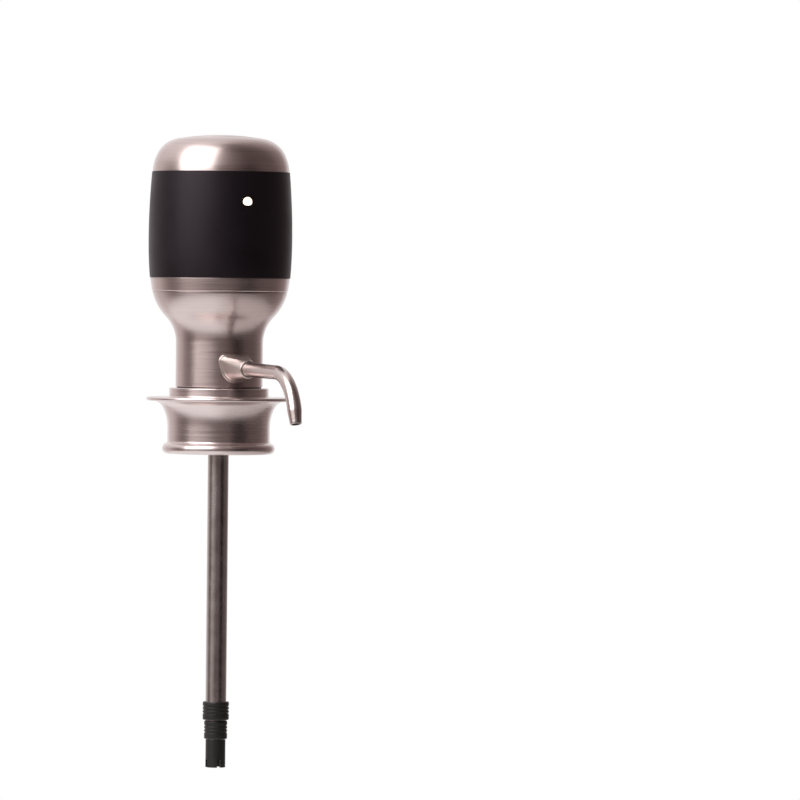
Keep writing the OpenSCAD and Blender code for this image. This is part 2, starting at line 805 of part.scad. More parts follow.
// The spout's course: straight run, bend and tapered tip, each end lengthened by extra
module spout_course(r, r_tip, extra) {
    translate([0, 0, spout_start - extra]) cylinder(r = r, h = spout_run - spout_start + extra);
    translate([0, -bend_r, spout_run]) rotate([90, 0, 90]) {
        rotate_extrude(angle = bend_turn) translate([bend_r, 0]) circle(r = r);
        rotate([0, 0, bend_turn]) translate([bend_r, -tip_lap, 0]) rotate([-90, 0, 0]) {
            cylinder(r1 = r - tip_step, r2 = r_tip, h = tip_lap + tip_l);
            if (extra > 0) translate([0, 0, tip_lap + tip_l]) cylinder(r = r_tip, h = extra);
        }
    }
}

module spout_tube() {
    color(steel) along_spout() difference() {
        spout_course(spout_r, tip_r, 0);
        spout_course(spout_r - spout_wall, tip_r - spout_wall, cut);
    }
}

module head_ring() {
    slot_r = spigot_r + lug_out + run_gap;
    slot_z = [lug_z - run_gap, lug_z + lug_h + run_gap];
    color(steel) difference() {
        rotate_extrude() difference() {
            union() {
                polygon([[0, head_z], [ring_foot_r - ring_edge, head_z], [ring_foot_r, head_z + ring_edge],
                    [ring_head_r, ring_top], [0, ring_top]]);
                rz(0, sleeve_bore_r - seat_gap, head_z, ring_top + lap_h);
            }
            rz(0, head_bore_r, head_z - cut, ring_top + lap_h + cut);
        }
        for (i = [0:lug_count - 1]) {
            lug_start = i * 360 / lug_count;
            ring_part(spigot_r, slot_r, slot_z[0], slot_z[1], lug_start - head_turn - lug_play,
                head_turn + lug_turn + 2 * lug_play);
            ring_part(spigot_r, slot_r, head_z - cut, slot_z[1], lug_start - head_turn - lug_play,
                lug_turn + 2 * lug_play);
        }
    }
}

module sleeve_outline() {
    intersection() {
        rz(0, belly_r, sleeve_z, sleeve_top);
        translate([belly_r - belly_low_r, belly_z]) circle(r = belly_low_r, $fn = long_fn);
    }
    intersection() {
        rz(0, belly_r, belly_z, sleeve_top);
        translate([belly_r - belly_high_r, belly_z]) circle(r = belly_high_r, $fn = long_fn);
    }
}

module grip_sleeve() {
    color(soft_black) difference() {
        rotate_extrude() difference() {
            sleeve_outline();
            rz(0, sleeve_bore_r, sleeve_z - cut, sleeve_top + cut);
        }
        translate([0, 0, lens_z]) rotate([90, 0, 0]) cylinder(r = lens_r + press_gap, h = belly_r + cut);
    }
}

// Outline of the dome, set in by a wall and lengthened by extra at its foot: side arc, shoulder arc, crown
module dome_outline(wall, extra) {
    low_z = dome_shoulder[1] + (dome_shoulder_r - wall) * sin(dome_lean[1]);
    high_z = crown_mid_z + (crown_r - wall) * sin(dome_lean[2]);
    intersection() {
        rz(0, dome_r, sleeve_top - extra, low_z);
        translate(dome_side) circle(r = dome_side_r - wall, $fn = long_fn / 4);
    }
    intersection() {
        rz(0, dome_r, sleeve_top, high_z);
        union() {
            rz(0, dome_shoulder[0], sleeve_top, high_z);
            translate(dome_shoulder) circle(r = dome_shoulder_r - wall, $fn = long_fn / 4);
        }
    }
    intersection() {
        rz(0, (crown_r - wall) * cos(dome_lean[2]), low_z, high_z + crown_r);
        translate([0, crown_mid_z]) circle(r = crown_r - wall, $fn = long_fn);
    }
}

module dome_cap() {
    inner_r = dome_spigot_r - dome_spigot_wall;
    color(steel) rotate_extrude() {
        difference() {
            dome_outline(0, 0);
            dome_outline(dome_wall, cut);
            rz(0, button_hole_r, sleeve_top, crown_mid_z + crown_r + cut);
        }
        rz(inner_r, dome_spigot_r, sleeve_top - lap_h, sleeve_top + dome_web);
        rz(inner_r, dome_r - dome_wall / 2, sleeve_top, sleeve_top + dome_web);
    }
}

module button_guide() {
    color(grey_plastic) {
        translate([0, 0, guide_z]) cylinder(r = guide_disc_r, h = guide_t);
        translate([0, 0, guide_z]) pipe(guide_wall_r, guide_bore_r, guide_top - guide_z);
    }
}

module switch_board() {
    color(board_green) translate([0, 0, board_z]) cylinder(r = board_r, h = board_t);
}

module tact_switch() {
    color("#222224") {
        translate([-switch_w / 2, -switch_w / 2, switch_z]) cube([switch_w, switch_w, switch_h]);
        translate([0, 0, switch_z]) cylinder(r = plunger_r, h = switch_h + plunger_h);
    }
}

module push_button() {
    color(steel) {
        rotate_extrude() {
            difference() {
                intersection() {
                    rz(0, button_r, flange_top - flange_t, crown_mid_z + crown_r);
                    translate([0, crown_mid_z]) circle(r = crown_r, $fn = long_fn);
                }
                intersection() {
                    rz(0, button_r - button_skirt, flange_top - flange_t - cut, crown_mid_z + crown_r);
                    translate([0, crown_mid_z]) circle(r = crown_r - button_t, $fn = long_fn);
                }
            }
            rz(button_r - button_skirt, flange_r, flange_top - flange_t, flange_top);
        }
        translate([0, 0, stem_z]) cylinder(r = stem_r, h = face_under + button_t / 2 - stem_z);
    }
}

// A coil swept as one tube of few sides
spring_steps = spring_turns * spring_rings;
function coil_angle(i) = 360 * i / spring_rings;
function coil_z(i) = spring_low_z + (spring_high_z - spring_low_z) * i / spring_steps;
function coil_point(i, j) =
    let (around = 360 * j / spring_sides, reach = spring_r + spring_wire / 2 * cos(around))
    [reach * cos(coil_angle(i)), reach * sin(coil_angle(i)), coil_z(i) + spring_wire / 2 * sin(around)];
function coil_mid(i) = [spring_r * cos(coil_angle(i)), spring_r * sin(coil_angle(i)), coil_z(i)];
coil_points = [for (i = [0:spring_steps]) for (j = [0:spring_sides - 1]) coil_point(i, j)];
coil_sides = [
    for (i = [0:spring_steps - 1]) for (j = [0:spring_sides - 1])
        let (a = i * spring_sides + j, b = i * spring_sides + (j + 1) % spring_sides)
        each [[a, a + spring_sides, b], [b, a + spring_sides, b + spring_sides]]
];
coil_ends = [
    for (j = [1:spring_sides - 2]) each [
        [0, j, j + 1],
        [spring_steps * spring_sides, spring_steps * spring_sides + j + 1, spring_steps * spring_sides + j]
    ]
];
coil_gap = min([
    for (i = [0:spring_steps - spring_rings / 2]) for (k = [i + spring_rings / 2:spring_steps])
        norm(coil_mid(i) - coil_mid(k))
]) - spring_wire;

module return_spring() {
    echo(least_gap_of_the_spring = coil_gap);
    color("#cfcfd2") polyhedron(points = coil_points, faces = concat(coil_sides, coil_ends));
}

module led_strip() {
    color(board_green) translate([-strip_w / 2, -strip_y, strip_foot_z])
        cube([strip_w, strip_t, strip_head_z - strip_foot_z]);
}

module led_lens() {
    lens_foot_y = lens_back_y - lens_flange_t;
    color("#fff4e8") translate([0, 0, lens_z]) rotate([90, 0, 0]) intersection() {
        translate([0, 0, lens_foot_y]) union() {
            cylinder(r = lens_r, h = lens_face_y - lens_foot_y);
            cylinder(r = lens_flange_r, h = lens_flange_t);
        }
        translate([0, 0, lens_face_y - lens_dome_r]) sphere(r = lens_dome_r);
    }
}

// A contact plate over the cells from number first, across some steps of the cell circle
module bridge(first, steps, z) {
    ring_part(cell_ring_r - bridge_w / 2, cell_ring_r + bridge_w / 2, z, z + contact_t,
        cell_step * first - bridge_lap, cell_step * steps + 2 * bridge_lap);
}

module battery_carrier() {
    color("#2b2b2d") difference() {
        union() {
            translate([0, 0, carrier_z]) cylinder(r = carrier_r, h = carrier_t);
            translate([0, 0, carrier_plate_z]) cylinder(r = carrier_r, h = carrier_t);
            translate([0, 0, carrier_z]) cylinder(r = core_r, h = carrier_top - carrier_z);
            round_copies(0, cell_count, 180 / cell_count)
                translate([0, -fin_t / 2, cell_z]) cube([carrier_r - fin_t, fin_t, cell_l - seat_gap]);
        }
        translate([0, 0, carrier_z + carrier_t])
            cylinder(r = core_r - core_wall, h = carrier_plate_z - carrier_z - carrier_t);
        for (r = [inner_track_r, outer_track_r])
            translate([0, 0, carrier_z - cut]) pipe(r + ring_track_w / 2 + press_gap,
                r - ring_track_w / 2 - press_gap, ring_track_t + cut);
    }
}

// Every second cell stands on its nub
module battery_cells() {
    color("#8d8f94") for (i = [0:cell_count - 1])
        rotate([0, 0, cell_step * i]) translate([cell_ring_r, 0, cell_z]) {
            translate([0, 0, i % 2 * nub_h]) cylinder(r = cell_r, h = cell_l - nub_h);
            cylinder(r = nub_r, h = cell_l);
        }
}

module upper_contacts() {
    color(brass) for (i = [0:2:cell_count - 2]) bridge(i, 1, upper_contact_z);
}

module lower_contacts() {
    plate_foot = carrier_z + carrier_t;
    color(brass) {
        for (i = [1:2:cell_count - 3]) bridge(i, 1, plate_foot);
        for (i = [0, cell_count - 1]) bridge(i, 0, plate_foot);
        round_copies(cell_ring_r, cell_count)
            translate([0, 0, plate_foot]) cylinder(r = nub_r, h = contact_t + leaf_rise - bearing_gap);
    }
}

module contact_rings() {
    color(brass) for (r = [inner_track_r, outer_track_r])
        translate([0, 0, carrier_z]) pipe(r + ring_track_w / 2, r - ring_track_w / 2, ring_track_t);
}

module tube_outer() {
    color(steel) translate([0, 0, -tube_drop]) pipe(tube_r, tube_r - tube_wall, tube_top + tube_drop);
}

// A gland on the end of one tube that guides the next: z is its foot, r the tube that it grips
module gland(z, r, r_next) {
    r_out = r + gland_wall;
    edge = gland_wall / 2;
    difference() {
        translate([0, 0, z]) rotate_extrude() {
            rz(0, r_out - edge, 0, gland_h);
            rz(0, r_out, edge, gland_h - edge);
            translate([r_out - edge, edge]) circle(r = edge, $fn = 32);
            translate([r_out - edge, gland_h - edge]) circle(r = edge, $fn = 32);
        }
        translate([0, 0, z + gland_lip]) cylinder(r = r + press_gap, h = gland_h);
        translate([0, 0, z - cut]) cylinder(r = r_next + slide_gap, h = gland_h);
    }
}

module gland_outer() {
    color(soft_black) gland(gland_outer_z, tube_r, middle_r);
}

module tube_middle() {
    color(steel) translate([0, 0, middle_end])
        pipe(middle_r, middle_r - tube_wall, middle_top - middle_end);
}

module gland_middle() {
    color(soft_black) gland(gland_middle_z, middle_r, lower_r);
}

module tube_lower() {
    color(steel) translate([0, 0, lower_end])
        pipe(lower_r, lower_r - tube_wall, lower_top - lower_end);
}

// The foot stands on the bottle's floor, and its slots let the wine in
module tube_foot() {
    slot_w = 1.6;
    slot_h = 3;
    foot_r = lower_r + gland_wall;
    color(soft_black) difference() {
        translate([0, 0, foot_z]) cylinder(r = foot_r, h = foot_h);
        translate([0, 0, foot_z - cut]) cylinder(r = lower_r - tube_wall, h = foot_h);
        translate([0, 0, lower_end]) cylinder(r = lower_r + press_gap, h = foot_h);
        for (turn = [0, 90]) rotate([0, 0, turn])
            translate([-slot_w / 2, -2 * foot_r, foot_z - cut]) cube([slot_w, 4 * foot_r, slot_h + cut]);
    }
}

base_collar();
bottle_seal();
base_gasket();
pump_housing();
inner_frame();
frame_screws();
deck_screws();
contact_deck();
contact_pins();
drive_motor();
motor_shaft();
eccentric();
diaphragm();
pump_block();
valve_head();
air_hose();
wine_elbow();
spout_seal();
spout_boss();
spout_tube();
head_ring();
grip_sleeve();
dome_cap();
button_guide();
switch_board();
tact_switch();
led_strip();
led_lens();
push_button();
return_spring();
battery_carrier();
battery_cells();
upper_contacts();
lower_contacts();
contact_rings();
tube_outer();
gland_outer();
tube_middle();
gland_middle();
tube_lower();
tube_foot();
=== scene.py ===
import json
import math

import bmesh
import bpy
from mathutils import Matrix, Vector

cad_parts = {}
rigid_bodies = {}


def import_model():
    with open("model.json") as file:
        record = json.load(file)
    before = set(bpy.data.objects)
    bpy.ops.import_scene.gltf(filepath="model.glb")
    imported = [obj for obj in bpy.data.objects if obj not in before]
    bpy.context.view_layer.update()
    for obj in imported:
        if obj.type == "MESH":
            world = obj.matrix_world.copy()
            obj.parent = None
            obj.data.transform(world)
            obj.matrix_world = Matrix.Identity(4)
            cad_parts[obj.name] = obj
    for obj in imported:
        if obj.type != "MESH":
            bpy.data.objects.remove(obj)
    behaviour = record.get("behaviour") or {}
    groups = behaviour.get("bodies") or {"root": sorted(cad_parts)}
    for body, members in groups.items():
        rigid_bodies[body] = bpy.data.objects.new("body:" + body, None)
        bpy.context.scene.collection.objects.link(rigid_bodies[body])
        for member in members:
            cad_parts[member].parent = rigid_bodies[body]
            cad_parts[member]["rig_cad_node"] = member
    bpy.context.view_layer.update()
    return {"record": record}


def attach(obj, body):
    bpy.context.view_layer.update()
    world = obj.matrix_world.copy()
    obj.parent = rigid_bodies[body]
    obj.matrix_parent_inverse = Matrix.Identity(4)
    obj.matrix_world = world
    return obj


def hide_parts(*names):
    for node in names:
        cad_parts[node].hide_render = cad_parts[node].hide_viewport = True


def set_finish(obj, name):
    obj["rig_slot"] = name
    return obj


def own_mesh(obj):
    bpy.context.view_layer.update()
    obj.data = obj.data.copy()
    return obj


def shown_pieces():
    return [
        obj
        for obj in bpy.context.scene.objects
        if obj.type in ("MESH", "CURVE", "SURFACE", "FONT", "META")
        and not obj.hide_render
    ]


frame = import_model()

# Sizes of the object, in millimetres and degrees, as in the part's source. Heights count from the
# bottle's lip. EDGE and ROOT stand for the size of a rounded edge or inner corner.

MM = 0.001

# Clearances
PRESS_GAP = 0.02
BEARING_GAP = 0.05
SEAT_GAP = 0.1
SLIDE_GAP = 0.1
RUN_GAP = 0.3

# Dip tube: three sections and two glands
TUBE_R = 4.0
TUBE_FOOT = -118
TUBE_TOP = 9.0
MIDDLE_R = 3.4
MIDDLE_FOOT = -125.3
MIDDLE_TOP = -2
LOWER_R = 2.8
LOWER_FOOT = -132.85
LOWER_TOP = -9.3
TUBE_WALL = 0.5
TUBE_EDGE = 0.12
GLAND_H = 7
GLAND_WALL = 1
GLAND_LIP = 2
GLAND_EDGE = 0.5
GLAND_LIP_EDGE = 0.15
GLAND_BORE_EDGE = 0.1
GROOVE_COUNT = 3
GROOVE_UP = 2.2
GROOVE_PITCH = 1.3
GROOVE_W = 0.7
GROOVE_RAMP = 0.2
GROOVE_DEPTH = 0.25
GROOVE_EDGE = 0.1

# Collar: skirt, bead, cove, brim and step
SKIRT_R = 19.55
SKIRT_WALL = 1.3
SKIRT_DROP = 18.4
SKIRT_EDGE = 0.4
BEAD_R = 2.05
BEAD_OUT = 1.95
BEAD_ROOT = 1.1
BRIM_R = 27.7
BRIM_T = 1.4
BRIM_Z = 3.2
BRIM_MARGIN = 2.2
COVE_LOW_R = 16
COVE_LEAN = 28
STEP_R = 19
STEP_Z = 6.7
STEP_EDGE = 0.4
STEP_ROOT = 0.5
SOCKET_BORE_R = 5.8

# Bottle seal: flange and ribbed plug
SEAL_T = 2.2
SEAL_R = SKIRT_R - SKIRT_WALL - SEAT_GAP
SEAL_BORE_R = TUBE_R + PRESS_GAP
SEAL_EDGE = 0.3
RIB_R = 9.6
RIB_COUNT = 4
RIB_PITCH = 4.3
RIB_LAND = 2.4
RIB_LEAD = 0.8
RIB_EDGE = 0.5
RIB_ROOT = 0.2
PLUG_R = 8.6
NOSE_R = 8.1
NOSE_L = 2.2
NOSE_EDGE = 0.5
AIR_HOLE_R = 1.1
AIR_HOLE_Y = 6.3
DRILL_L = 100

# Gasket and pump housing: neck, flare and bowl
GASKET_R = 16.1
GASKET_BORE_R = 15.15
GASKET_EDGE = 0.1
NECK_R = 16.6
NECK_Z = 7.1
NECK_EDGE = 0.35
HOUSING_WALL = 1.4
FLARE_R = 14
FLARE_Z = 24.099
FLARE_LEAN = 44
BOWL_R = 20.6
BOWL_MID = (5.711, 48.134)
RIM_LEAN = 13
# Turns down from the rim at which its flat top ends and the inner bowl begins
RIM_INNER_TURN = 0.7
BOWL_INNER_TURN = 2
# The rim's rounded edge, from its outer corner
RIM_EDGE = ((-0.07, -0.3), (-0.11, -0.09), (-0.3, 0))

# Spout and its boss, which leave the neck towards -Y
SPOUT_Z = 14.8
SPOUT_TILT = 1.2
SPOUT_START = 9.2
SPOUT_RUN = 57
SPOUT_R = 2.7
SPOUT_WALL = 0.5
SPOUT_LIP = 0.12
BEND_R = 19
BEND_TURN = 73
TIP_L = 5.3
TIP_R = 2.15
BOSS_R = 4.95
BOSS_TOP = 4.5
BOSS_LEAN = 16
BOSS_CORNER_R = 6.6
BOSS_FLANGE_OUT = 0.7
BOSS_FLANGE_T = 0.9
BOSS_FLANGE_EDGE = 0.25
BOSS_ROOT = 0.2
BOSS_END_R = 3.45
BOSS_END_MARGIN = 0.15
BOSS_EDGE = 0.4
BOSS_BORE_EDGE = 0.1
BOSS_REACH = 29.5
# How sharply the boss's flats meet, the share of its length from which it turns round, and the
# least cosine at which a flat still bounds it
BOSS_SHARPNESS = 26
BOSS_ROUND_FROM = 0.75
BOSS_LEAST_FACING = 0.05

# Head: ring, sleeve and lens
HEAD_Z = 43.9
RING_REACH = 0.37
RING_TOP = 48.7
RING_BORE_R = 22.783
RING_FOOT_R = 25.933
RING_HEAD_R = 26.648
RING_CHAMFER = 0.3
RING_CHAMFER_EDGE = 0.12
RING_EDGE = 0.2
LAP_H = 3.6
SLEEVE_BORE_R = 24.365
SLEEVE_TOP = 89.1
SLEEVE_EDGE = 0.2
BELLY_R = 27.4
BELLY_Z = 63.2
BELLY_LOW_R = 175
BELLY_HIGH_R = 296
LENS_Z = 77.4
LENS_R = 1.9
LENS_PROUD = 0.12
LENS_BULGE = 0.2
LENS_STEP = 0.05
LENS_BACK = 23.426
LENS_FLANGE = 24.126
LENS_FLANGE_R = 2.6

# Dome, button and return spring
DOME_R = 26.115
DOME_SIDE_R = 17
DOME_SHOULDER_R = 10.8
DOME_FOOT_LEAN = 3
DOME_SIDE_LEAN = 28
DOME_CROWN_LEAN = 80
DOME_INNER_TURN = 2
DOME_WALL = 1.2
DOME_SPIGOT_R = SLEEVE_BORE_R - SEAT_GAP
DOME_SPIGOT_WALL = 1.3
DOME_WEB = 1.1
# Radii at which the crown has points, outside and inside
CROWN_RS = (15.5, 14.6, 14, 13.675)
CROWN_INNER_R = 16
BUTTON_R = 13
BUTTON_T = 1.6
BUTTON_EDGE = 0.25
BUTTON_LIP = 1.2
BUTTON_FLANGE_T = 0.9
BUTTON_SKIRT = 1.1
STEM_R = 2.2
STEM_Z = 97.7
SPRING_R = 6
SPRING_WIRE = 0.7
SPRING_TURNS = 4
SPRING_FOOT = 93.5
SPRING_HEAD = 101.26

# Fineness of the meshes: sides round an axis, steps along a line, degrees along an arc
TURNED_SIDES = 192
BOSS_SIDES = 160
FLOOR_SIDES = 96
SPOUT_SIDES = 64
LENS_SIDES = 48
HOLE_SIDES = 32
SPRING_SIDES = 10
BOSS_STEPS = 14
BOSS_FOLLOW_STEPS = 8
BOSS_FOLLOW_ROUNDS = 3
SPOUT_STEPS = 24
BEND_STEPS = 48
TIP_STEPS = 12
SLEEVE_STEPS = 40
BUTTON_STEPS = 12
SPRING_TURN_STEPS = 28
EDGE_STEPS = 5
SMALL_EDGE_STEPS = 4
TINY_EDGE_STEPS = 3
ARC_TURN = 3
BEAD_ARC_TURN = 6
BRIM_ARC_TURN = 12
LENS_ARC_TURN = 10
FINE_TURNS = (0, 22, 45, 67, 90)
COARSE_TURNS = (0, 30, 60, 90)
# Edges that turn by more than this stay sharp
SHARP_ANGLE = 50


# Outlines

def sine(angle):
    """The sine of an angle in degrees."""
    return math.sin(math.radians(angle))


def cosine(angle):
    """The cosine of an angle in degrees."""
    return math.cos(math.radians(angle))


def polar(angle):
    """The unit vector at an angle in degrees."""
    return Vector((cosine(angle), sine(angle)))


def even(start, end, steps):
    """Values from start to end in even steps."""
    return [start + (end - start) * i / steps for i in range(steps + 1)]


def spokes(radius, sides):
    """Points round a circle."""
    return [polar(angle) * radius for angle in even(0, 360, sides)[:-1]]


def arc(middle, radius, start, end, turn=ARC_TURN):
    """Points of an arc in an outline, from angle start to angle end in degrees."""
    steps = max(2, math.ceil(abs(end - start) / turn))
    return [Vector(middle) + radius * polar(angle) for angle in even(start, end, steps)]


def soft_edge(corner, size, turns):
    """Points of a rounded corner. Size is the rounding across and up, from the corner inwards."""
    r, z = corner
    return [(r + size[0] * (1 - sine(a)), z + size[1] * (1 - cosine(a))) for a in turns]


def rounded(corners, steps=EDGE_STEPS):
    """Points of a closed outline of corners (r, z, radius). One without a radius stays sharp."""
    points = []
    for i, corner in enumerate(corners):
        here = Vector(corner[:2])
        if len(corner) == 2:
            points.append(here)
            continue
        radius = corner[2]
        back = (Vector(corners[i - 1][:2]) - here).normalized()
        ahead = (Vector(corners[(i + 1) % len(corners)][:2]) - here).normalized()
        half = back.angle(ahead) / 2
        reach = radius / math.tan(half)
        middle = here + (back + ahead).normalized() * (radius / math.sin(half))
        first = here + back * reach - middle
        last = here + ahead * reach - middle
        for k in range(steps + 1):
            points.append(middle + first.slerp(last, k / steps) * radius)
    return points


# Meshes

def new_object(name, data):
    """An object in the scene's collection."""
    thing = bpy.data.objects.new(name, data)
    bpy.context.scene.collection.objects.link(thing)
    return thing


def new_mesh(name, bm):
    """Turns a bmesh into a mesh."""
    mesh = bpy.data.meshes.new(name)
    bm.to_mesh(mesh)
    bm.free()
    return mesh


def finish_mesh(name, bm, body, nodes, slot):
    """A smooth piece that rides on a body, stands for CAD nodes and takes a slot's finish."""
    bmesh.ops.recalc_face_normals(bm, faces=bm.faces)
    mesh = new_mesh(name, bm)
    mesh.shade_smooth()
    mesh.set_sharp_from_angle(angle=math.radians(SHARP_ANGLE))
    piece = new_object(name, mesh)
    normals = piece.modifiers.new("even_normals", "WEIGHTED_NORMAL")
    normals.keep_sharp = True
    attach(piece, body)
    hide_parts(*nodes)
    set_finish(piece, slot)
    return piece


def bridge_rings(bm, rings, closed):
    """Joins rings of vertices by faces. A ring of one vertex is a pole."""
    pairs = list(zip(rings, rings[1:]))
    if closed:
        pairs.append((rings[-1], rings[0]))
    for low, high in pairs:
        count = max(len(low), len(high))
        for i in range(count):
            j = (i + 1) % count
            loop = [low[i % len(low)], low[j % len(low)], high[j % len(high)], high[i % len(high)]]
            loop = list(dict.fromkeys(loop))
            if len(loop) > 2:
                bm.faces.new(loop)


def turned(name, outline, body, nodes, slot):
    """A piece turned about the Z axis from an outline of (r, z), closed or from pole to pole."""
    bm = bmesh.new()
    rings = []
    for r, z in outline:
        if r == 0:
            rings.append([bm.verts.new((0, 0, z * MM))])
            continue
        places = [spoke * MM for spoke in spokes(r, TURNED_SIDES)]
        rings.append([bm.verts.new((place.x, place.y, z * MM)) for place in places])
    bridge_rings(bm, rings, closed=all(len(ring) > 1 for ring in rings))
    return finish_mesh(name, bm, body, nodes, slot)


def drill(piece, radius, y):
    """Cuts an upright hole through a piece, at a place behind the Z axis."""
    bm = bmesh.new()
    bmesh.ops.create_cone(bm, cap_ends=True, segments=HOLE_SIDES, radius1=radius * MM,
                          radius2=radius * MM, depth=DRILL_L * MM)
    bmesh.ops.translate(bm, verts=bm.verts, vec=(0, y * MM, 0))
    mesh = new_mesh("drill", bm)
    tool = new_object("drill", mesh)
    hole = piece.modifiers.new("hole", "BOOLEAN")
    hole.object = tool
    # The hole is cut before the normals are evened
    piece.modifiers.move(1, 0)
    evaluated = piece.evaluated_get(bpy.context.evaluated_depsgraph_get())
    cut = bpy.data.meshes.new_from_object(evaluated)
    piece.modifiers.remove(hole)
    piece.data = cut
    bpy.data.objects.remove(tool)
    bpy.data.meshes.remove(mesh)


# Base: collar, seal, gasket and housing

def collar_outline():
    """The collar, from its bore down the skirt, round the bead, up the cove and over the brim."""
    bore_r = SKIRT_R - SKIRT_WALL
    bead = (SKIRT_R + BEAD_OUT - BEAD_R, BEAD_R - SKIRT_DROP)
    root_r = SKIRT_R + BEAD_ROOT
    root_reach = BEAD_R + BEAD_ROOT
    root_turn = math.degrees(math.acos((root_r - bead[0]) / root_reach))
    root = (root_r, bead[1] + root_reach * sine(root_turn))
    under = BRIM_Z - BRIM_T
    mid_r = SKIRT_R + COVE_LOW_R * (1 - cosine(COVE_LEAN))
    top_r = BRIM_R - BRIM_MARGIN
    high_r = (top_r - mid_r) / cosine(COVE_LEAN)
    mid_z = under - high_r * (1 - sine(COVE_LEAN))
    foot_z = mid_z - COVE_LOW_R * sine(COVE_LEAN)
    edge = (BRIM_R - BRIM_T / 2, BRIM_Z - BRIM_T / 2)
    points = rounded([(bore_r, SEAL_T), (bore_r, -SKIRT_DROP, SKIRT_EDGE), (bead[0], -SKIRT_DROP)])
    points += arc(bead, BEAD_R, -90, root_turn, BEAD_ARC_TURN)[1:]
    points += arc(root, BEAD_ROOT, 180 + root_turn, 180, BEAD_ARC_TURN)[1:]
    points += arc((SKIRT_R + COVE_LOW_R, foot_z), COVE_LOW_R, 180, 180 - COVE_LEAN)
    points += arc((top_r, under - high_r), high_r, 180 - COVE_LEAN, 90)[1:]
    points += arc(edge, BRIM_T / 2, -90, 90, BRIM_ARC_TURN)
    points += rounded([(BRIM_R - 2 * BRIM_T, BRIM_Z), (STEP_R, BRIM_Z, STEP_ROOT),
                       (STEP_R, STEP_Z, STEP_EDGE), (SOCKET_BORE_R, STEP_Z),
                       (SOCKET_BORE_R, SEAL_T)])
    return points


def seal_outline():
    """The seal: a flange on the bottle's lip, and the ribbed plug under it."""
    corners = [(SEAL_BORE_R, SEAL_T), (SEAL_R, SEAL_T, SEAL_EDGE), (SEAL_R, 0, SEAL_EDGE)]
    for i in range(RIB_COUNT):
        top = -i * RIB_PITCH
        if i == 0:
            corners.append((RIB_R, top))
        else:
            corners += [(PLUG_R, top, SEAL_EDGE), (RIB_R, top, SEAL_EDGE)]
        corners += [(RIB_R, top - RIB_LAND, RIB_EDGE),
                    (PLUG_R, top - RIB_LAND - RIB_LEAD, RIB_ROOT)]
    nose_z = -(RIB_COUNT - 1) * RIB_PITCH - RIB_LAND - RIB_LEAD - NOSE_L
    corners += [(NOSE_R, nose_z, NOSE_EDGE), (SEAL_BORE_R, nose_z)]
    return rounded(corners, SMALL_EDGE_STEPS)


def gasket_outline():
    return rounded([(GASKET_BORE_R, STEP_Z), (GASKET_R, STEP_Z, GASKET_EDGE),
                    (GASKET_R, NECK_Z, GASKET_EDGE), (GASKET_BORE_R, NECK_Z)], TINY_EDGE_STEPS)


def housing_outline():
    """The housing: up the neck, the flare and the bowl outside, and down again inside."""
    bore_r = NECK_R - HOUSING_WALL
    flare = (NECK_R + FLARE_R, FLARE_Z)
    inner_bowl_r = BOWL_R - HOUSING_WALL
    rim = Vector(BOWL_MID) + BOWL_R * polar(-RIM_LEAN)
    inner_rim = Vector(BOWL_MID) + inner_bowl_r * polar(-RIM_LEAN - RIM_INNER_TURN)
    points = rounded([(bore_r, FLARE_Z), (bore_r, NECK_Z), (NECK_R, NECK_Z, NECK_EDGE),
                      (NECK_R, FLARE_Z)])[1:-1]
    points += arc(flare, FLARE_R, 180, 180 - FLARE_LEAN)
    points += arc(BOWL_MID, BOWL_R, -FLARE_LEAN, -RIM_LEAN)[1:-1]
    points += [rim + Vector(step) for step in RIM_EDGE]
    points += [Vector((inner_rim.x, rim.y))]
    points += arc(BOWL_MID, inner_bowl_r, -RIM_LEAN - BOWL_INNER_TURN, -FLARE_LEAN)
    points += arc(flare, FLARE_R + HOUSING_WALL, 180 - FLARE_LEAN, 180)[1:]
    return points


turned("collar", collar_outline(), "base", ["base_collar"], "steel")
seal = turned("seal", seal_outline(), "base", ["bottle_seal"], "silicone")
drill(seal, AIR_HOLE_R, AIR_HOLE_Y)
turned("gasket", gasket_outline(), "base", ["base_gasket"], "silicone")
turned("housing", housing_outline(), "base", ["pump_housing"], "steel")


# Spout: boss and tube, along an axis that leaves the neck towards -Y

spout_axes = (
    Matrix.Translation((0, 0, SPOUT_Z * MM))
    @ Matrix.Rotation(math.radians(SPOUT_TILT), 4, "X")
    @ Matrix.Rotation(math.radians(90), 4, "X")
)


def soft_least(limits):
    """About the least of some lengths, with soft changes from one to the next."""
    return sum(limit ** -BOSS_SHARPNESS for limit in limits) ** (-1 / BOSS_SHARPNESS)


def boss_radius(angle, out, grow):
    """Radius of the boss in a direction: a funnel with a round foot and end, flat sides and top."""
    share = min(1, (out - NECK_R) / (BOSS_REACH - BOSS_EDGE - NECK_R))

    def size(start, end):
        return start + (end - start) * share + grow

    way = polar(angle)
    lean = polar(BOSS_LEAN)
    facing = abs(way.x) * lean.x - way.y * lean.y
    lid = []
    if way.y > BOSS_LEAST_FACING:
        lid = [size(BOSS_TOP, BOSS_END_R + BOSS_END_MARGIN) / way.y]
    radius = soft_least([size(BOSS_R, BOSS_END_R)] + lid)
    if way.y * lean.x + abs(way.x) * lean.y > 0:
        side = [size(BOSS_R, BOSS_END_R) / facing] if facing > BOSS_LEAST_FACING else []
        radius = max(radius, soft_least([size(BOSS_CORNER_R, BOSS_END_R)] + side + lid))
    roundness = max(0, (share - BOSS_ROUND_FROM) / (1 - BOSS_ROUND_FROM)) ** 2
    return radius + (BOSS_END_R + grow - radius) * roundness


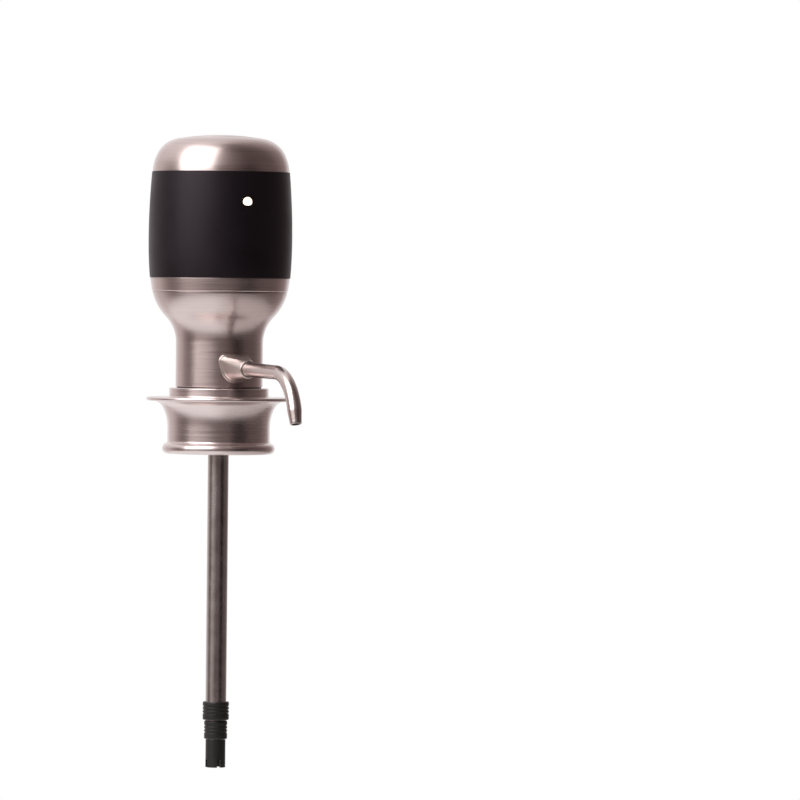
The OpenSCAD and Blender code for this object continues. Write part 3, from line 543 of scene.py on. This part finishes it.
def boss_rings():
    """Rings of the boss, from its bore over the flange and the body to its end.

    Each is (radius by angle and distance, distance from the neck's axis, share of the neck's
    curve that it follows)."""
    def plain(radius):
        return lambda angle, out: radius

    def flange(grow):
        return lambda angle, out: boss_radius(angle, NECK_R, grow)

    def body(grow):
        return lambda angle, out: boss_radius(angle, out, grow)

    bore_r = SPOUT_R + BEARING_GAP
    face = NECK_R + BOSS_FLANGE_T
    start = face + BOSS_ROOT
    end = BOSS_REACH - BOSS_EDGE
    rings = [(plain(bore_r), NECK_R, 1), (flange(BOSS_FLANGE_OUT), NECK_R, 1)]
    for tilt in map(polar, FINE_TURNS):
        grow = BOSS_FLANGE_OUT - BOSS_FLANGE_EDGE * (1 - tilt.x)
        rings.append((flange(grow), face - BOSS_FLANGE_EDGE * (1 - tilt.y), 1))
    for tilt in map(polar, COARSE_TURNS[:-1]):
        rings.append((body(BOSS_ROOT * (1 - tilt.y)), face + BOSS_ROOT * (1 - tilt.x), 1))
    for i, out in enumerate(even(start, end, BOSS_STEPS)[1:], 1):
        rings.append((body(0), out, max(0, 1 - i / BOSS_FOLLOW_STEPS)))
    for tilt in map(polar, FINE_TURNS[1:]):
        radius = BOSS_END_R - BOSS_EDGE * (1 - tilt.x)
        rings.append((plain(radius), BOSS_REACH - BOSS_EDGE * (1 - tilt.y), 0))
    rings.append((plain(bore_r + BOSS_BORE_EDGE), BOSS_REACH, 0))
    rings.append((plain(bore_r), BOSS_REACH - BOSS_BORE_EDGE, 0))
    return rings


def make_boss():
    """The boss. A ring that follows the neck's curve settles on it in a few rounds."""
    bm = bmesh.new()
    rings = []
    for radius, out, follow in boss_rings():
        ring = []
        for angle in even(0, 360, BOSS_SIDES)[:-1]:
            place = out
            for _ in range(BOSS_FOLLOW_ROUNDS):
                spoke = polar(angle) * radius(angle, place)
                place = out - follow * (NECK_R - math.sqrt(NECK_R ** 2 - spoke.x ** 2))
            ring.append(bm.verts.new(spout_axes @ (Vector((spoke.x, spoke.y, place)) * MM)))
        rings.append(ring)
    bridge_rings(bm, rings, closed=True)
    finish_mesh("boss", bm, "base", ["spout_boss"], "boss_steel")


def spout_path():
    """Frames along the spout: (place, way across in the bend's plane, outer and inner radius)."""
    bore_r = SPOUT_R - SPOUT_WALL
    tip_bore_r = TIP_R - SPOUT_WALL
    soft = SPOUT_LIP / 3
    frames = []
    for out in even(SPOUT_START, SPOUT_RUN, SPOUT_STEPS):
        frames.append((Vector((0, 0, out)), Vector((0, 1, 0)), SPOUT_R, bore_r))
    for turn in even(0, BEND_TURN, BEND_STEPS)[1:]:
        across = Vector((0, cosine(turn), sine(turn)))
        place = Vector((0, -BEND_R, SPOUT_RUN)) + BEND_R * across
        frames.append((place, across, SPOUT_R, bore_r))
    along = Vector((0, -across.z, across.y))
    for share in even(0, 1, TIP_STEPS)[1:-1] + [1 - SPOUT_LIP / TIP_L]:
        outer = SPOUT_R + (TIP_R - SPOUT_R) * share
        frames.append((place + along * TIP_L * share, across, outer, outer - SPOUT_WALL))
    frames.append((place + along * (TIP_L - soft), across, TIP_R - soft, tip_bore_r + soft))
    frames.append((place + along * TIP_L, across, TIP_R - SPOUT_LIP, tip_bore_r + SPOUT_LIP))
    return frames


def make_spout():
    """The spout: an outer skin along its path and an inner one back."""
    bm = bmesh.new()

    def ring(place, across, radius):
        points = [place + Vector((s.x, 0, 0)) + across * s.y for s in spokes(radius, SPOUT_SIDES)]
        return [bm.verts.new(spout_axes @ (point * MM)) for point in points]

    path = spout_path()
    outside = [ring(place, across, outer) for place, across, outer, _ in path]
    inside = [ring(place, across, inner) for place, across, _, inner in path]
    bridge_rings(bm, outside + inside[::-1], closed=True)
    finish_mesh("spout", bm, "base", ["spout_tube"], "spout_steel")


make_boss()
make_spout()


# Head: ring, sleeve, dome, button, spring and lens

def ring_outline():
    """The ring. Its foot reaches down into the gap over the housing's rim."""
    foot = HEAD_Z - RING_REACH
    lap_r = SLEEVE_BORE_R - SEAT_GAP
    lap_top = RING_TOP + LAP_H
    return rounded([(RING_BORE_R, foot, RING_EDGE),
                    (RING_FOOT_R - RING_CHAMFER, foot, RING_CHAMFER_EDGE),
                    (RING_FOOT_R, foot + RING_CHAMFER, RING_CHAMFER_EDGE),
                    (RING_HEAD_R, RING_TOP, RING_EDGE), (lap_r, RING_TOP),
                    (lap_r, lap_top, RING_EDGE), (RING_BORE_R, lap_top, RING_EDGE)])


def sleeve_r(z):
    """Outer radius of the sleeve at a height."""
    radius = BELLY_LOW_R if z < BELLY_Z else BELLY_HIGH_R
    return BELLY_R - radius + math.sqrt(radius ** 2 - (z - BELLY_Z) ** 2)


def sleeve_outline():
    """The sleeve: bellied outside, straight inside."""
    turns = FINE_TURNS[:-1]
    foot = soft_edge((sleeve_r(RING_TOP), RING_TOP), (-SLEEVE_EDGE, SLEEVE_EDGE), turns)
    head = soft_edge((sleeve_r(SLEEVE_TOP), SLEEVE_TOP), (-SLEEVE_EDGE, -SLEEVE_EDGE), turns[::-1])
    heights = even(RING_TOP + SLEEVE_EDGE, SLEEVE_TOP - SLEEVE_EDGE, SLEEVE_STEPS)
    belly = [(sleeve_r(z), z) for z in heights]
    return [(SLEEVE_BORE_R, RING_TOP)] + foot + belly + head + [(SLEEVE_BORE_R, SLEEVE_TOP)]


dome_side = Vector((DOME_R, SLEEVE_TOP)) - DOME_SIDE_R * polar(DOME_FOOT_LEAN)
dome_shoulder = dome_side + (DOME_SIDE_R - DOME_SHOULDER_R) * polar(DOME_SIDE_LEAN)
crown_edge = dome_shoulder + DOME_SHOULDER_R * polar(DOME_CROWN_LEAN)
crown_r = crown_edge.x / cosine(DOME_CROWN_LEAN)
crown_z = crown_edge.y - crown_r * sine(DOME_CROWN_LEAN)


def crown(r, wall=0):
    """Height of the crown at a radius, set in by a wall."""
    return crown_z + math.sqrt((crown_r - wall) ** 2 - r ** 2)


def dome_outline():
    """The dome: over the shoulder to the button's hole outside, and back inside to its spigot."""
    hole_r = BUTTON_R + RUN_GAP
    edge_r = hole_r + BUTTON_EDGE
    spigot_in = DOME_SPIGOT_R - DOME_SPIGOT_WALL
    spigot_foot = SLEEVE_TOP - LAP_H
    web_z = SLEEVE_TOP + DOME_WEB
    inner_foot = DOME_FOOT_LEAN + DOME_INNER_TURN
    points = arc(dome_side, DOME_SIDE_R, DOME_FOOT_LEAN, DOME_SIDE_LEAN)
    points += arc(dome_shoulder, DOME_SHOULDER_R, DOME_SIDE_LEAN, DOME_CROWN_LEAN)[1:]
    points += [(r, crown(r)) for r in (*CROWN_RS, edge_r)]
    points += soft_edge((hole_r, crown(edge_r)), (BUTTON_EDGE, -BUTTON_EDGE), COARSE_TURNS[1:])
    points += [(r, crown(r, DOME_WALL)) for r in (hole_r, CROWN_INNER_R)]
    points += arc(dome_shoulder, DOME_SHOULDER_R - DOME_WALL, DOME_CROWN_LEAN, DOME_SIDE_LEAN)
    points += arc(dome_side, DOME_SIDE_R - DOME_WALL, DOME_SIDE_LEAN, inner_foot)[1:]
    points += [(DOME_R - DOME_WALL, web_z), (spigot_in, web_z), (spigot_in, spigot_foot),
               (DOME_SPIGOT_R, spigot_foot), (DOME_SPIGOT_R, SLEEVE_TOP)]
    return points


def button_outline():
    """The button: its face in line with the crown, a lip that keeps it in, and its stem."""
    edge_r = BUTTON_R - BUTTON_EDGE
    lip_r = BUTTON_R + BUTTON_LIP
    lip_top = crown(lip_r, DOME_WALL) - RUN_GAP
    lip_foot = lip_top - BUTTON_FLANGE_T
    inner_r = BUTTON_R - BUTTON_SKIRT
    points = [(r, crown(r)) for r in even(0, BUTTON_R, BUTTON_STEPS)[:-1] + [edge_r]]
    points += soft_edge((BUTTON_R, crown(edge_r)), (-BUTTON_EDGE, -BUTTON_EDGE), COARSE_TURNS[1:])
    points += [(BUTTON_R, lip_top), (lip_r, lip_top), (lip_r, lip_foot), (inner_r, lip_foot)]
    points += [(r, crown(r, BUTTON_T)) for r in (inner_r, STEM_R)]
    points += [(STEM_R, STEM_Z), (0, STEM_Z)]
    return points


def make_spring():
    """The return spring: a coil of wire, built at its rest length; the button shortens it when
    pressed.
    """
    bm = bmesh.new()
    wire_r = SPRING_WIRE / 2
    steps = SPRING_TURN_STEPS * SPRING_TURNS
    rise = (SPRING_HEAD - SPRING_FOOT - SPRING_WIRE) / steps
    rings = []
    for i, turn in enumerate(even(0, 360 * SPRING_TURNS, steps)):
        way = polar(turn)
        height = SPRING_FOOT + wire_r + rise * i
        middle = Vector((way.x * SPRING_R, way.y * SPRING_R, height))
        ring = []
        for spoke in spokes(wire_r, SPRING_SIDES):
            out = Vector((way.x * spoke.x, way.y * spoke.x, spoke.y))
            ring.append(bm.verts.new((middle + out) * MM))
        if i == 0:
            rings.append([bm.verts.new(middle * MM)])
        rings.append(ring)
        if i == steps:
            rings.append([bm.verts.new(middle * MM)])
    bridge_rings(bm, rings, closed=False)
    piece = finish_mesh("spring", bm, "head", ["return_spring"], "plain_steel")
    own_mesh(piece)


def make_lens():
    """The lens: a low dome in a small flange behind the sleeve's wall, along -Y."""
    bm = bmesh.new()
    face = sleeve_r(LENS_Z) + LENS_PROUD
    edge = face - LENS_BULGE
    outline = [(0, LENS_BACK), (LENS_FLANGE_R, LENS_BACK), (LENS_FLANGE_R, LENS_FLANGE),
               (LENS_R, LENS_FLANGE), (LENS_R, edge - LENS_STEP)]
    for turn in range(0, 90, LENS_ARC_TURN):
        outline.append((LENS_R * cosine(turn), edge + LENS_BULGE * sine(turn)))
    outline.append((0, face))
    rings = []
    for r, out in outline:
        places = spokes(r, LENS_SIDES) if r > 0 else [Vector((0, 0))]
        rings.append([bm.verts.new(Vector((p.x, -out, LENS_Z + p.y)) * MM) for p in places])
    bridge_rings(bm, rings, closed=False)
    finish_mesh("lens", bm, "head", ["led_lens"], "lens")


turned("ring", ring_outline(), "head", ["head_ring"], "steel")
turned("sleeve", sleeve_outline(), "head", ["grip_sleeve"], "soft_black")
turned("dome", dome_outline(), "head", ["dome_cap"], "steel")
turned("button_face", button_outline(), "button", ["push_button"], "steel")
make_spring()
make_lens()


# Dip tube: three drawn tubes and two glands

def tube_outline(r, foot, top):
    corners = [(r - TUBE_WALL, foot), (r, foot), (r, top), (r - TUBE_WALL, top)]
    return rounded([(*corner, TUBE_EDGE) for corner in corners], TINY_EDGE_STEPS)


def gland_outline(tube_r, tube_foot, next_r):
    """A gland at the foot of a tube, with a lip round the next tube and grooves for the grip."""
    bore_r = tube_r + PRESS_GAP
    lip_r = next_r + SLIDE_GAP
    outer = bore_r + GLAND_WALL
    foot = tube_foot - GLAND_LIP
    top = foot + GLAND_H
    grooves = []
    for i in range(GROOVE_COUNT):
        low = foot + GROOVE_UP + GROOVE_PITCH * i
        high = low + GROOVE_W
        grooves += [(outer, low, GROOVE_EDGE),
                    (outer - GROOVE_DEPTH, low + GROOVE_RAMP, GROOVE_EDGE),
                    (outer - GROOVE_DEPTH, high - GROOVE_RAMP, GROOVE_EDGE),
                    (outer, high, GROOVE_EDGE)]
    return rounded([(lip_r, foot, GLAND_LIP_EDGE), (outer, foot, GLAND_EDGE), *grooves,
                    (outer, top, GLAND_EDGE), (bore_r, top, GLAND_BORE_EDGE), (bore_r, tube_foot),
                    (lip_r, tube_foot)], SMALL_EDGE_STEPS)


upper_tube = tube_outline(TUBE_R, TUBE_FOOT, TUBE_TOP)
middle_tube = tube_outline(MIDDLE_R, MIDDLE_FOOT, MIDDLE_TOP)
lower_tube = tube_outline(LOWER_R, LOWER_FOOT, LOWER_TOP)
upper_gland = gland_outline(TUBE_R, TUBE_FOOT, MIDDLE_R)
lower_gland = gland_outline(MIDDLE_R, MIDDLE_FOOT, LOWER_R)
turned("upper_tube", upper_tube, "base", ["tube_outer"], "tube_steel")
turned("middle_tube", middle_tube, "tube_mid", ["tube_middle"], "tube_steel")
turned("lower_tube", lower_tube, "tube_low", ["tube_lower"], "tube_steel")
turned("upper_gland", upper_gland, "base", ["gland_outer"], "black_plastic")
turned("lower_gland", lower_gland, "tube_mid", ["gland_middle"], "black_plastic")


# Materials: every finish comes from noise in the object's own space, in metres. Scales count per
# metre, brushed lines per millimetre, and the depth of a grain is in millimetres.

NODE_START = (-200, 0)
NODE_STEP = Vector((-180, -40))
NOISE_RANGE = (0.3, 0.7)
ROUGH_SPREAD = 0.04
GRAIN_DETAIL = 2.0

BRUSH_LINES = 2.4
BRUSH_FINER = 5.0
BRUSH_DETAIL = 1.0
BRUSH_FINE_DETAIL = 2.0
BRUSH_COARSE_SHARE = 0.45
BRUSH_RANGE = (0.35, 0.65)
BRUSH_ROUGH_SPREAD = 0.05
BRUSH_RELIEF = 0.5
BRUSH_DEPTH = 0.0022
BRUSH_STRETCH = 0.35
QUARTER_TURN = 0.25

POLISH_SCALE = 220.0
POLISH_DETAIL = 4.0
POLISH_GRAIN = 2600.0
POLISH_RELIEF = 0.12
POLISH_DEPTH = 0.01

MOULD_SCALE = 90.0
MOULD_DETAIL = 3.0
MOULD_RELIEF = 0.35
SHEEN_ROUGH = 0.4

# The lens's glow: share of its radius and colour
GLOW_MIDDLE = (0.55, (1, 0.97, 0.93))
GLOW_EDGE = (1.0, (1, 0.8, 0.6))
GLOW_STRENGTH = 1.2
LENS_ROUGH = 0.2


class Shader:
    """The nodes of a material or a world under construction."""

    def __init__(self, owner):
        owner.use_nodes = True
        self.owner = owner
        self.tree = owner.node_tree
        self.spot = Vector(NODE_START)

    def add(self, kind, inputs=(), **settings):
        """Adds a node and gives each of its inputs a value or the output of another node."""
        node = self.tree.nodes.new(kind)
        node.location = self.spot
        self.spot += NODE_STEP
        for key, value in settings.items():
            setattr(node, key, value)
        for key, value in dict(inputs).items():
            self.feed(node.inputs[key], value)
        return node

    def feed(self, socket, value):
        """Gives an input a value or the output of another node."""
        if isinstance(value, bpy.types.NodeSocket):
            self.tree.links.new(value, socket)
        else:
            socket.default_value = value

    def surface(self):
        return self.tree.nodes["Principled BSDF"]

    def set(self, **values):
        """Feeds inputs of the surface. An underscore stands for a space in an input's name."""
        for key, value in values.items():
            self.feed(self.surface().inputs[key.replace("_", " ")], value)

    def place(self, space="Object"):
        return self.add("ShaderNodeTexCoord").outputs[space]

    def math(self, operation, first, second):
        return self.add("ShaderNodeMath", {0: first, 1: second}, operation=operation).outputs[0]

    def vector(self, operation, first, second=(0, 0, 0)):
        inputs = {0: first, 1: second}
        return self.add("ShaderNodeVectorMath", inputs, operation=operation).outputs

    def split(self, vector):
        return self.add("ShaderNodeSeparateXYZ", {0: vector}).outputs

    def join(self, **axes):
        return self.add("ShaderNodeCombineXYZ", axes).outputs[0]

    def ramp(self, factor, stops):
        """A colour ramp: stops are (position, colour)."""
        node = self.add("ShaderNodeValToRGB", {"Fac": factor})
        while len(node.color_ramp.elements) < len(stops):
            node.color_ramp.elements.new(0.5)
        for element, (position, colour) in zip(node.color_ramp.elements, stops):
            element.position = position
            element.color = (*colour, 1)
        return node.outputs["Color"]

    def fit(self, value, source, target=(0.0, 1.0)):
        """Maps a value from one range to another, and keeps it in there."""
        inputs = {"Value": value, "From Min": source[0], "From Max": source[1],
                  "To Min": target[0], "To Max": target[1]}
        return self.add("ShaderNodeMapRange", inputs).outputs["Result"]

    def noise(self, vector, scale, detail):
        inputs = {"Vector": vector, "Scale": scale, "Detail": detail}
        return self.add("ShaderNodeTexNoise", inputs).outputs["Fac"]

    def deep_noise(self, vector, depth, detail):
        """Noise that also changes with a depth."""
        inputs = {"Vector": vector, "W": depth, "Scale": 1.0, "Detail": detail}
        return self.add("ShaderNodeTexNoise", inputs, noise_dimensions="4D").outputs["Fac"]

    def bump(self, height, strength, depth):
        inputs = {"Height": height, "Strength": strength, "Distance": depth * MM}
        self.set(Normal=self.add("ShaderNodeBump", inputs).outputs["Normal"])

    def tones(self, pattern, span, light, dark, rough, spread):
        """Colour and roughness that follow a pattern."""
        self.set(Base_Color=self.ramp(pattern, [(span[0], dark), (span[1], light)]))
        self.set(Roughness=self.fit(pattern, NOISE_RANGE, (rough - spread, rough + spread)))


def turned_steel(name, light, dark, rough):
    """Steel brushed round the Z axis in coarse and fine lines."""
    made = Shader(bpy.data.materials.new(name))
    place = made.split(made.place())
    flat = made.join(X=place["X"], Y=place["Y"])
    radius = made.vector("LENGTH", flat)["Value"]
    around = made.split(made.vector("NORMALIZE", flat)["Vector"])

    def lines(height, depth, detail):
        course = made.join(X=around["X"], Y=around["Y"], Z=height)
        return made.deep_noise(course, depth, detail)

    height = made.math("MULTIPLY", place["Z"], BRUSH_LINES / MM)
    depth = made.math("MULTIPLY", radius, BRUSH_LINES / MM)
    fine_height = made.math("MULTIPLY", height, BRUSH_FINER)
    fine_depth = made.math("MULTIPLY", depth, BRUSH_FINER)
    coarse = made.math("MULTIPLY", lines(height, depth, BRUSH_DETAIL), BRUSH_COARSE_SHARE)
    fine = made.math("MULTIPLY", lines(fine_height, fine_depth, BRUSH_FINE_DETAIL),
                     1 - BRUSH_COARSE_SHARE)
    both = made.math("ADD", coarse, fine)
    made.tones(both, BRUSH_RANGE, light, dark, rough, BRUSH_ROUGH_SPREAD)
    made.bump(both, BRUSH_RELIEF, BRUSH_DEPTH)
    tangent = made.add("ShaderNodeTangent", direction_type="RADIAL", axis="Z").outputs[0]
    made.set(Metallic=1.0, Tangent=tangent, Anisotropic=BRUSH_STRETCH,
             Anisotropic_Rotation=QUARTER_TURN)
    return made.owner


def drawn_steel(name, light, dark, rough):
    """Smooth metal with a faint cloudy polish."""
    made = Shader(bpy.data.materials.new(name))
    place = made.place()
    cloud = made.noise(place, POLISH_SCALE, POLISH_DETAIL)
    made.tones(cloud, NOISE_RANGE, light, dark, rough, ROUGH_SPREAD)
    made.bump(made.noise(place, POLISH_GRAIN, GRAIN_DETAIL), POLISH_RELIEF, POLISH_DEPTH)
    made.set(Metallic=1.0)
    return made.owner


def moulded(name, light, dark, rough, depth, grain, sheen=0.0, gloss=0.5, tint=(1, 1, 1)):
    """Plastic or rubber with a fine moulded grain, of a depth and a scale."""
    made = Shader(bpy.data.materials.new(name))
    place = made.place()
    cloud = made.noise(place, MOULD_SCALE, MOULD_DETAIL)
    made.tones(cloud, NOISE_RANGE, light, dark, rough, ROUGH_SPREAD)
    made.bump(made.noise(place, grain, GRAIN_DETAIL), MOULD_RELIEF, depth)
    made.set(Sheen_Weight=sheen, Sheen_Roughness=SHEEN_ROUGH, Specular_IOR_Level=gloss,
             Specular_Tint=(*tint, 1))
    return made.owner


def lit_lens(name):
    """A clear lens lit from behind: white in the middle, warmer at its edge."""
    made = Shader(bpy.data.materials.new(name))
    place = made.vector("SUBTRACT", made.place(), (0, 0, LENS_Z * MM))["Vector"]
    place = made.split(place)
    flat = made.join(X=place["X"], Z=place["Z"])
    share = made.math("DIVIDE", made.vector("LENGTH", flat)["Value"], LENS_R * MM)
    glow = made.ramp(share, [GLOW_MIDDLE, GLOW_EDGE])
    made.set(Base_Color=glow, Emission_Color=glow, Emission_Strength=GLOW_STRENGTH,
             Roughness=LENS_ROUGH)
    return made.owner


# Each finish has a light and a dark colour and a roughness
LOOKS = {
    "steel": turned_steel("steel", (0.75, 0.65, 0.64), (0.65, 0.56, 0.55), 0.31),
    # Painted light: the collar's steel, a paler copy of steel that makes it look more brightly lit
    "painted_light_steel": turned_steel("painted_light_steel", (0.82, 0.725, 0.72), (0.71, 0.63, 0.625), 0.29),
    "spout_steel": drawn_steel("spout_steel", (0.76, 0.68, 0.665), (0.7, 0.62, 0.605), 0.24),
    # The boss's steel: rougher than the spout's, and paler as painted light on its side
    "boss_steel": drawn_steel("boss_steel", (0.82, 0.75, 0.72), (0.76, 0.69, 0.66), 0.36),
    "tube_steel": drawn_steel("tube_steel", (0.7, 0.68, 0.67), (0.62, 0.6, 0.59), 0.24),
    "plain_steel": drawn_steel("plain_steel", (0.62, 0.62, 0.63), (0.54, 0.54, 0.55), 0.32),
    "soft_black": moulded("soft_black", (0.0078, 0.0064, 0.0084), (0.006, 0.005, 0.0066), 0.45,
                          depth=0.006, grain=4200.0, gloss=0.42, tint=(1, 0.84, 1)),
    "black_plastic": moulded("black_plastic", (0.024, 0.024, 0.025), (0.016, 0.016, 0.017), 0.42,
                             depth=0.01, grain=3000.0),
    "grey_plastic": moulded("grey_plastic", (0.18, 0.18, 0.19), (0.14, 0.14, 0.15), 0.45,
                            depth=0.01, grain=3000.0),
    "white_plastic": moulded("white_plastic", (0.72, 0.7, 0.66), (0.66, 0.64, 0.6), 0.35,
                             depth=0.006, grain=2400.0),
    "silicone": moulded("silicone", (0.045, 0.045, 0.047), (0.033, 0.033, 0.035), 0.5,
                        depth=0.012, grain=2600.0, sheen=0.15),
    "clear_silicone": moulded("clear_silicone", (0.77, 0.76, 0.74), (0.7, 0.69, 0.67), 0.3,
                              depth=0.006, grain=2400.0),
    "brass": drawn_steel("brass", (0.75, 0.55, 0.22), (0.66, 0.47, 0.18), 0.28),
    "board": moulded("board", (0.035, 0.16, 0.08), (0.025, 0.13, 0.06), 0.35,
                     depth=0.008, grain=1800.0),
    "cell_can": drawn_steel("cell_can", (0.32, 0.33, 0.35), (0.27, 0.28, 0.3), 0.35),
    "lens": lit_lens("lens"),
}

# Every piece takes its slot's look, but the collar's steel is painted paler than the rest, as
# painted light
slot_of = {row["node"]: row["material_slot"] for row in frame["record"]["subparts"]}
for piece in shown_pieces():
    slot = piece["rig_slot"] if "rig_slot" in piece else slot_of[piece["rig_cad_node"]]
    look = LOOKS["painted_light_steel" if piece.name == "collar" else slot]
    piece.data.materials.clear()
    piece.data.materials.append(look)


# Camera: the photograph's view. Image and focus are in its pixels, the sensor is in millimetres,
# and the rest is in metres and degrees.

IMAGE = 800
FOCUS = 5950
AZIMUTH = -22
DISTANCE = 2.271
EYE_Z = 0.0439
YAW = 1.7438
PITCH = 1.0359
ROLL = 0.60
SENSOR = 36
CLIP_END = 50


def turn_about(axis, angle):
    """A turn about an axis, in degrees."""
    return Matrix.Rotation(math.radians(angle), 3, axis).to_quaternion()


def aim(thing, ahead, turn):
    """Turns a camera or a lamp to look ahead, after a turn of its own."""
    thing.rotation_mode = "QUATERNION"
    thing.rotation_quaternion = ahead.to_track_quat("-Z", "Y") @ turn


toward = Vector((sine(AZIMUTH), -cosine(AZIMUTH), 0))
aside = Vector((-toward.y, toward.x, 0))
ahead = -toward * cosine(YAW) + aside * sine(YAW)
ahead = ahead * cosine(PITCH) - Vector((0, 0, sine(PITCH)))
lens_data = bpy.data.cameras.new("camera")
lens_data.sensor_width = SENSOR
lens_data.lens = SENSOR * FOCUS / IMAGE
lens_data.clip_end = CLIP_END
camera = new_object("camera", lens_data)
camera.location = toward * DISTANCE + Vector((0, 0, EYE_Z))
aim(camera, ahead, turn_about("Z", ROLL))
bpy.context.scene.camera = camera


# Stage: a pale floor below the drawn-out tube, a soft lamp and a studio's surroundings, in metres

FLOOR_Z = -0.345
FLOOR_R = 0.66
FLOOR_COLOUR = (0.82, 0.81, 0.8, 1)
FLOOR_ROUGH = 0.8
FLOOR_WHITE = (1, 0.985, 0.97, 1)
# Shares of the floor's radius over which it fades to white, and the places across the view, from
# right to left, over which reflections come to see it white
FLOOR_FADE = (0.3, 0.95)
FLOOR_SIDE = (0.16, -0.08)
LAMP_AIM = Vector((0, 0, 0.04))

# Light of the room at eye level and overhead, by the azimuth from the camera's side to the right
ROOM_LEVEL = [
    (-180, 0.8), (-150, 0.78), (-136, 0.68), (-122, 0.64), (-108, 0.37), (-92, 0.16), (-78, 0.14),
    (-64, 0.38), (-46, 0.36), (-30, 0.24), (-13, 0.12), (14, 0.13), (32, 0.05), (42, 0.015),
    (56, 0.02), (72, 0.1), (108, 0.13), (126, 0.24), (142, 0.35), (160, 0.66), (180, 0.8),
]
ROOM_CEILING = [
    (-180, 0.85), (-110, 0.85), (-84, 0.62), (-60, 0.62), (-10, 0.45), (22, 0.19), (50, 0.09),
    (104, 0.12), (140, 0.36), (180, 0.85),
]
# Green and blue as shares of the red, in the dark and added in full light
ROOM_GREEN = (0.72, 0.26)
ROOM_BLUE = (0.68, 0.29)
# Upward part of a ray over which the ceiling takes over, and its part towards the camera over which
# reflections come to see the white behind the object
CEILING_RANGE = (0.1, 0.5)
BEHIND_RANGE = (-0.8, -0.94)
WHITE = (1, 1, 1, 1)


def seen_rays(made):
    """1 for the camera's own rays, and 1 for those off metal and through glass."""
    path = made.add("ShaderNodeLightPath").outputs
    gloss = made.math("MAXIMUM", path["Is Glossy Ray"], path["Is Transmission Ray"])
    return path["Is Camera Ray"], gloss


def make_floor():
    """A round floor that keeps the object's shadow and fades to white at its edge."""
    bm = bmesh.new()
    bmesh.ops.create_circle(bm, cap_ends=True, segments=FLOOR_SIDES, radius=FLOOR_R)
    mesh = new_mesh("floor", bm)
    floor = new_object("floor", mesh)
    floor.location.z = FLOOR_Z
    made = Shader(bpy.data.materials.new("floor"))
    made.set(Base_Color=FLOOR_COLOUR, Roughness=FLOOR_ROUGH)
    camera_ray, gloss_ray = seen_rays(made)
    place = made.place()
    reach = made.vector("LENGTH", place)["Value"]
    fade = made.fit(reach, [share * FLOOR_R for share in FLOOR_FADE])
    side = made.fit(made.vector("DOT_PRODUCT", place, aside)["Value"], FLOOR_SIDE)
    white = made.math("MAXIMUM", made.math("MULTIPLY", camera_ray, fade),
                      made.math("MULTIPLY", gloss_ray, side))
    glow = made.add("ShaderNodeEmission", {"Color": FLOOR_WHITE, "Strength": 1.0})
    shaders = {0: white, 1: made.surface().outputs[0], 2: glow.outputs[0]}
    mix = made.add("ShaderNodeMixShader", shaders)
    made.feed(made.tree.nodes["Material Output"].inputs["Surface"], mix.outputs[0])
    mesh.materials.append(made.owner)


def make_lamp(name, azimuth, elevation, distance, size, lean, tip, power, colour):
    """A soft box near the head. Azimuth counts from the camera's side, to the right, and so does
    its lean. Its tip raises its face from the head towards the level."""
    level = cosine(elevation)
    turn = AZIMUTH + azimuth
    away = Vector((sine(turn) * level, -cosine(turn) * level, sine(elevation)))
    data = bpy.data.lights.new(name, "AREA")
    data.shape = "RECTANGLE"
    data.size, data.size_y = size
    data.energy = power
    data.color = colour
    lamp = new_object(name, data)
    lamp.location = LAMP_AIM + away * distance
    aim(lamp, -away, turn_about("X", tip) @ turn_about("Z", lean))
    lamp.visible_camera = False


def band_stops(bands):
    """Stops of a ramp round the object, from (azimuth, light)."""
    stops = []
    for azimuth, light in bands:
        green, blue = [light * (dark + more * light) for dark, more in (ROOM_GREEN, ROOM_BLUE)]
        stops.append(((azimuth + 180) / 360, (light, green, blue)))
    return stops


def make_surroundings():
    """The camera sees white. Light and reflections come from a room of light and dark bands."""
    made = Shader(bpy.data.worlds.new("studio"))
    made.tree.nodes.clear()
    way = made.place("Generated")
    right = made.vector("DOT_PRODUCT", way, aside)["Value"]
    front = made.vector("DOT_PRODUCT", way, toward)["Value"]
    share = made.fit(made.math("ARCTAN2", right, front), (-math.pi, math.pi))
    level = made.ramp(share, band_stops(ROOM_LEVEL))
    ceiling = made.ramp(share, band_stops(ROOM_CEILING))
    high = made.fit(made.split(way)["Z"], CEILING_RANGE)
    bands = {"Factor": high, "A": level, "B": ceiling}
    room = made.add("ShaderNodeMix", bands, data_type="RGBA").outputs["Result"]
    camera_ray, gloss_ray = seen_rays(made)
    behind = made.fit(front, BEHIND_RANGE)
    white = made.math("MAXIMUM", camera_ray, made.math("MULTIPLY", gloss_ray, behind))
    seen = {"Factor": white, "A": room, "B": WHITE}
    colour = made.add("ShaderNodeMix", seen, data_type="RGBA").outputs["Result"]
    background = made.add("ShaderNodeBackground", {"Color": colour, "Strength": 1.0})
    made.add("ShaderNodeOutputWorld", {"Surface": background.outputs[0]})
    bpy.context.scene.world = made.owner


make_floor()
make_lamp("key", azimuth=-49.5, elevation=50, distance=1.1, size=(1.06, 1.5), lean=11, tip=27,
          power=12.2, colour=(1, 0.98, 0.96))
make_surroundings()
bpy.context.scene.view_settings.view_transform = "Standard"
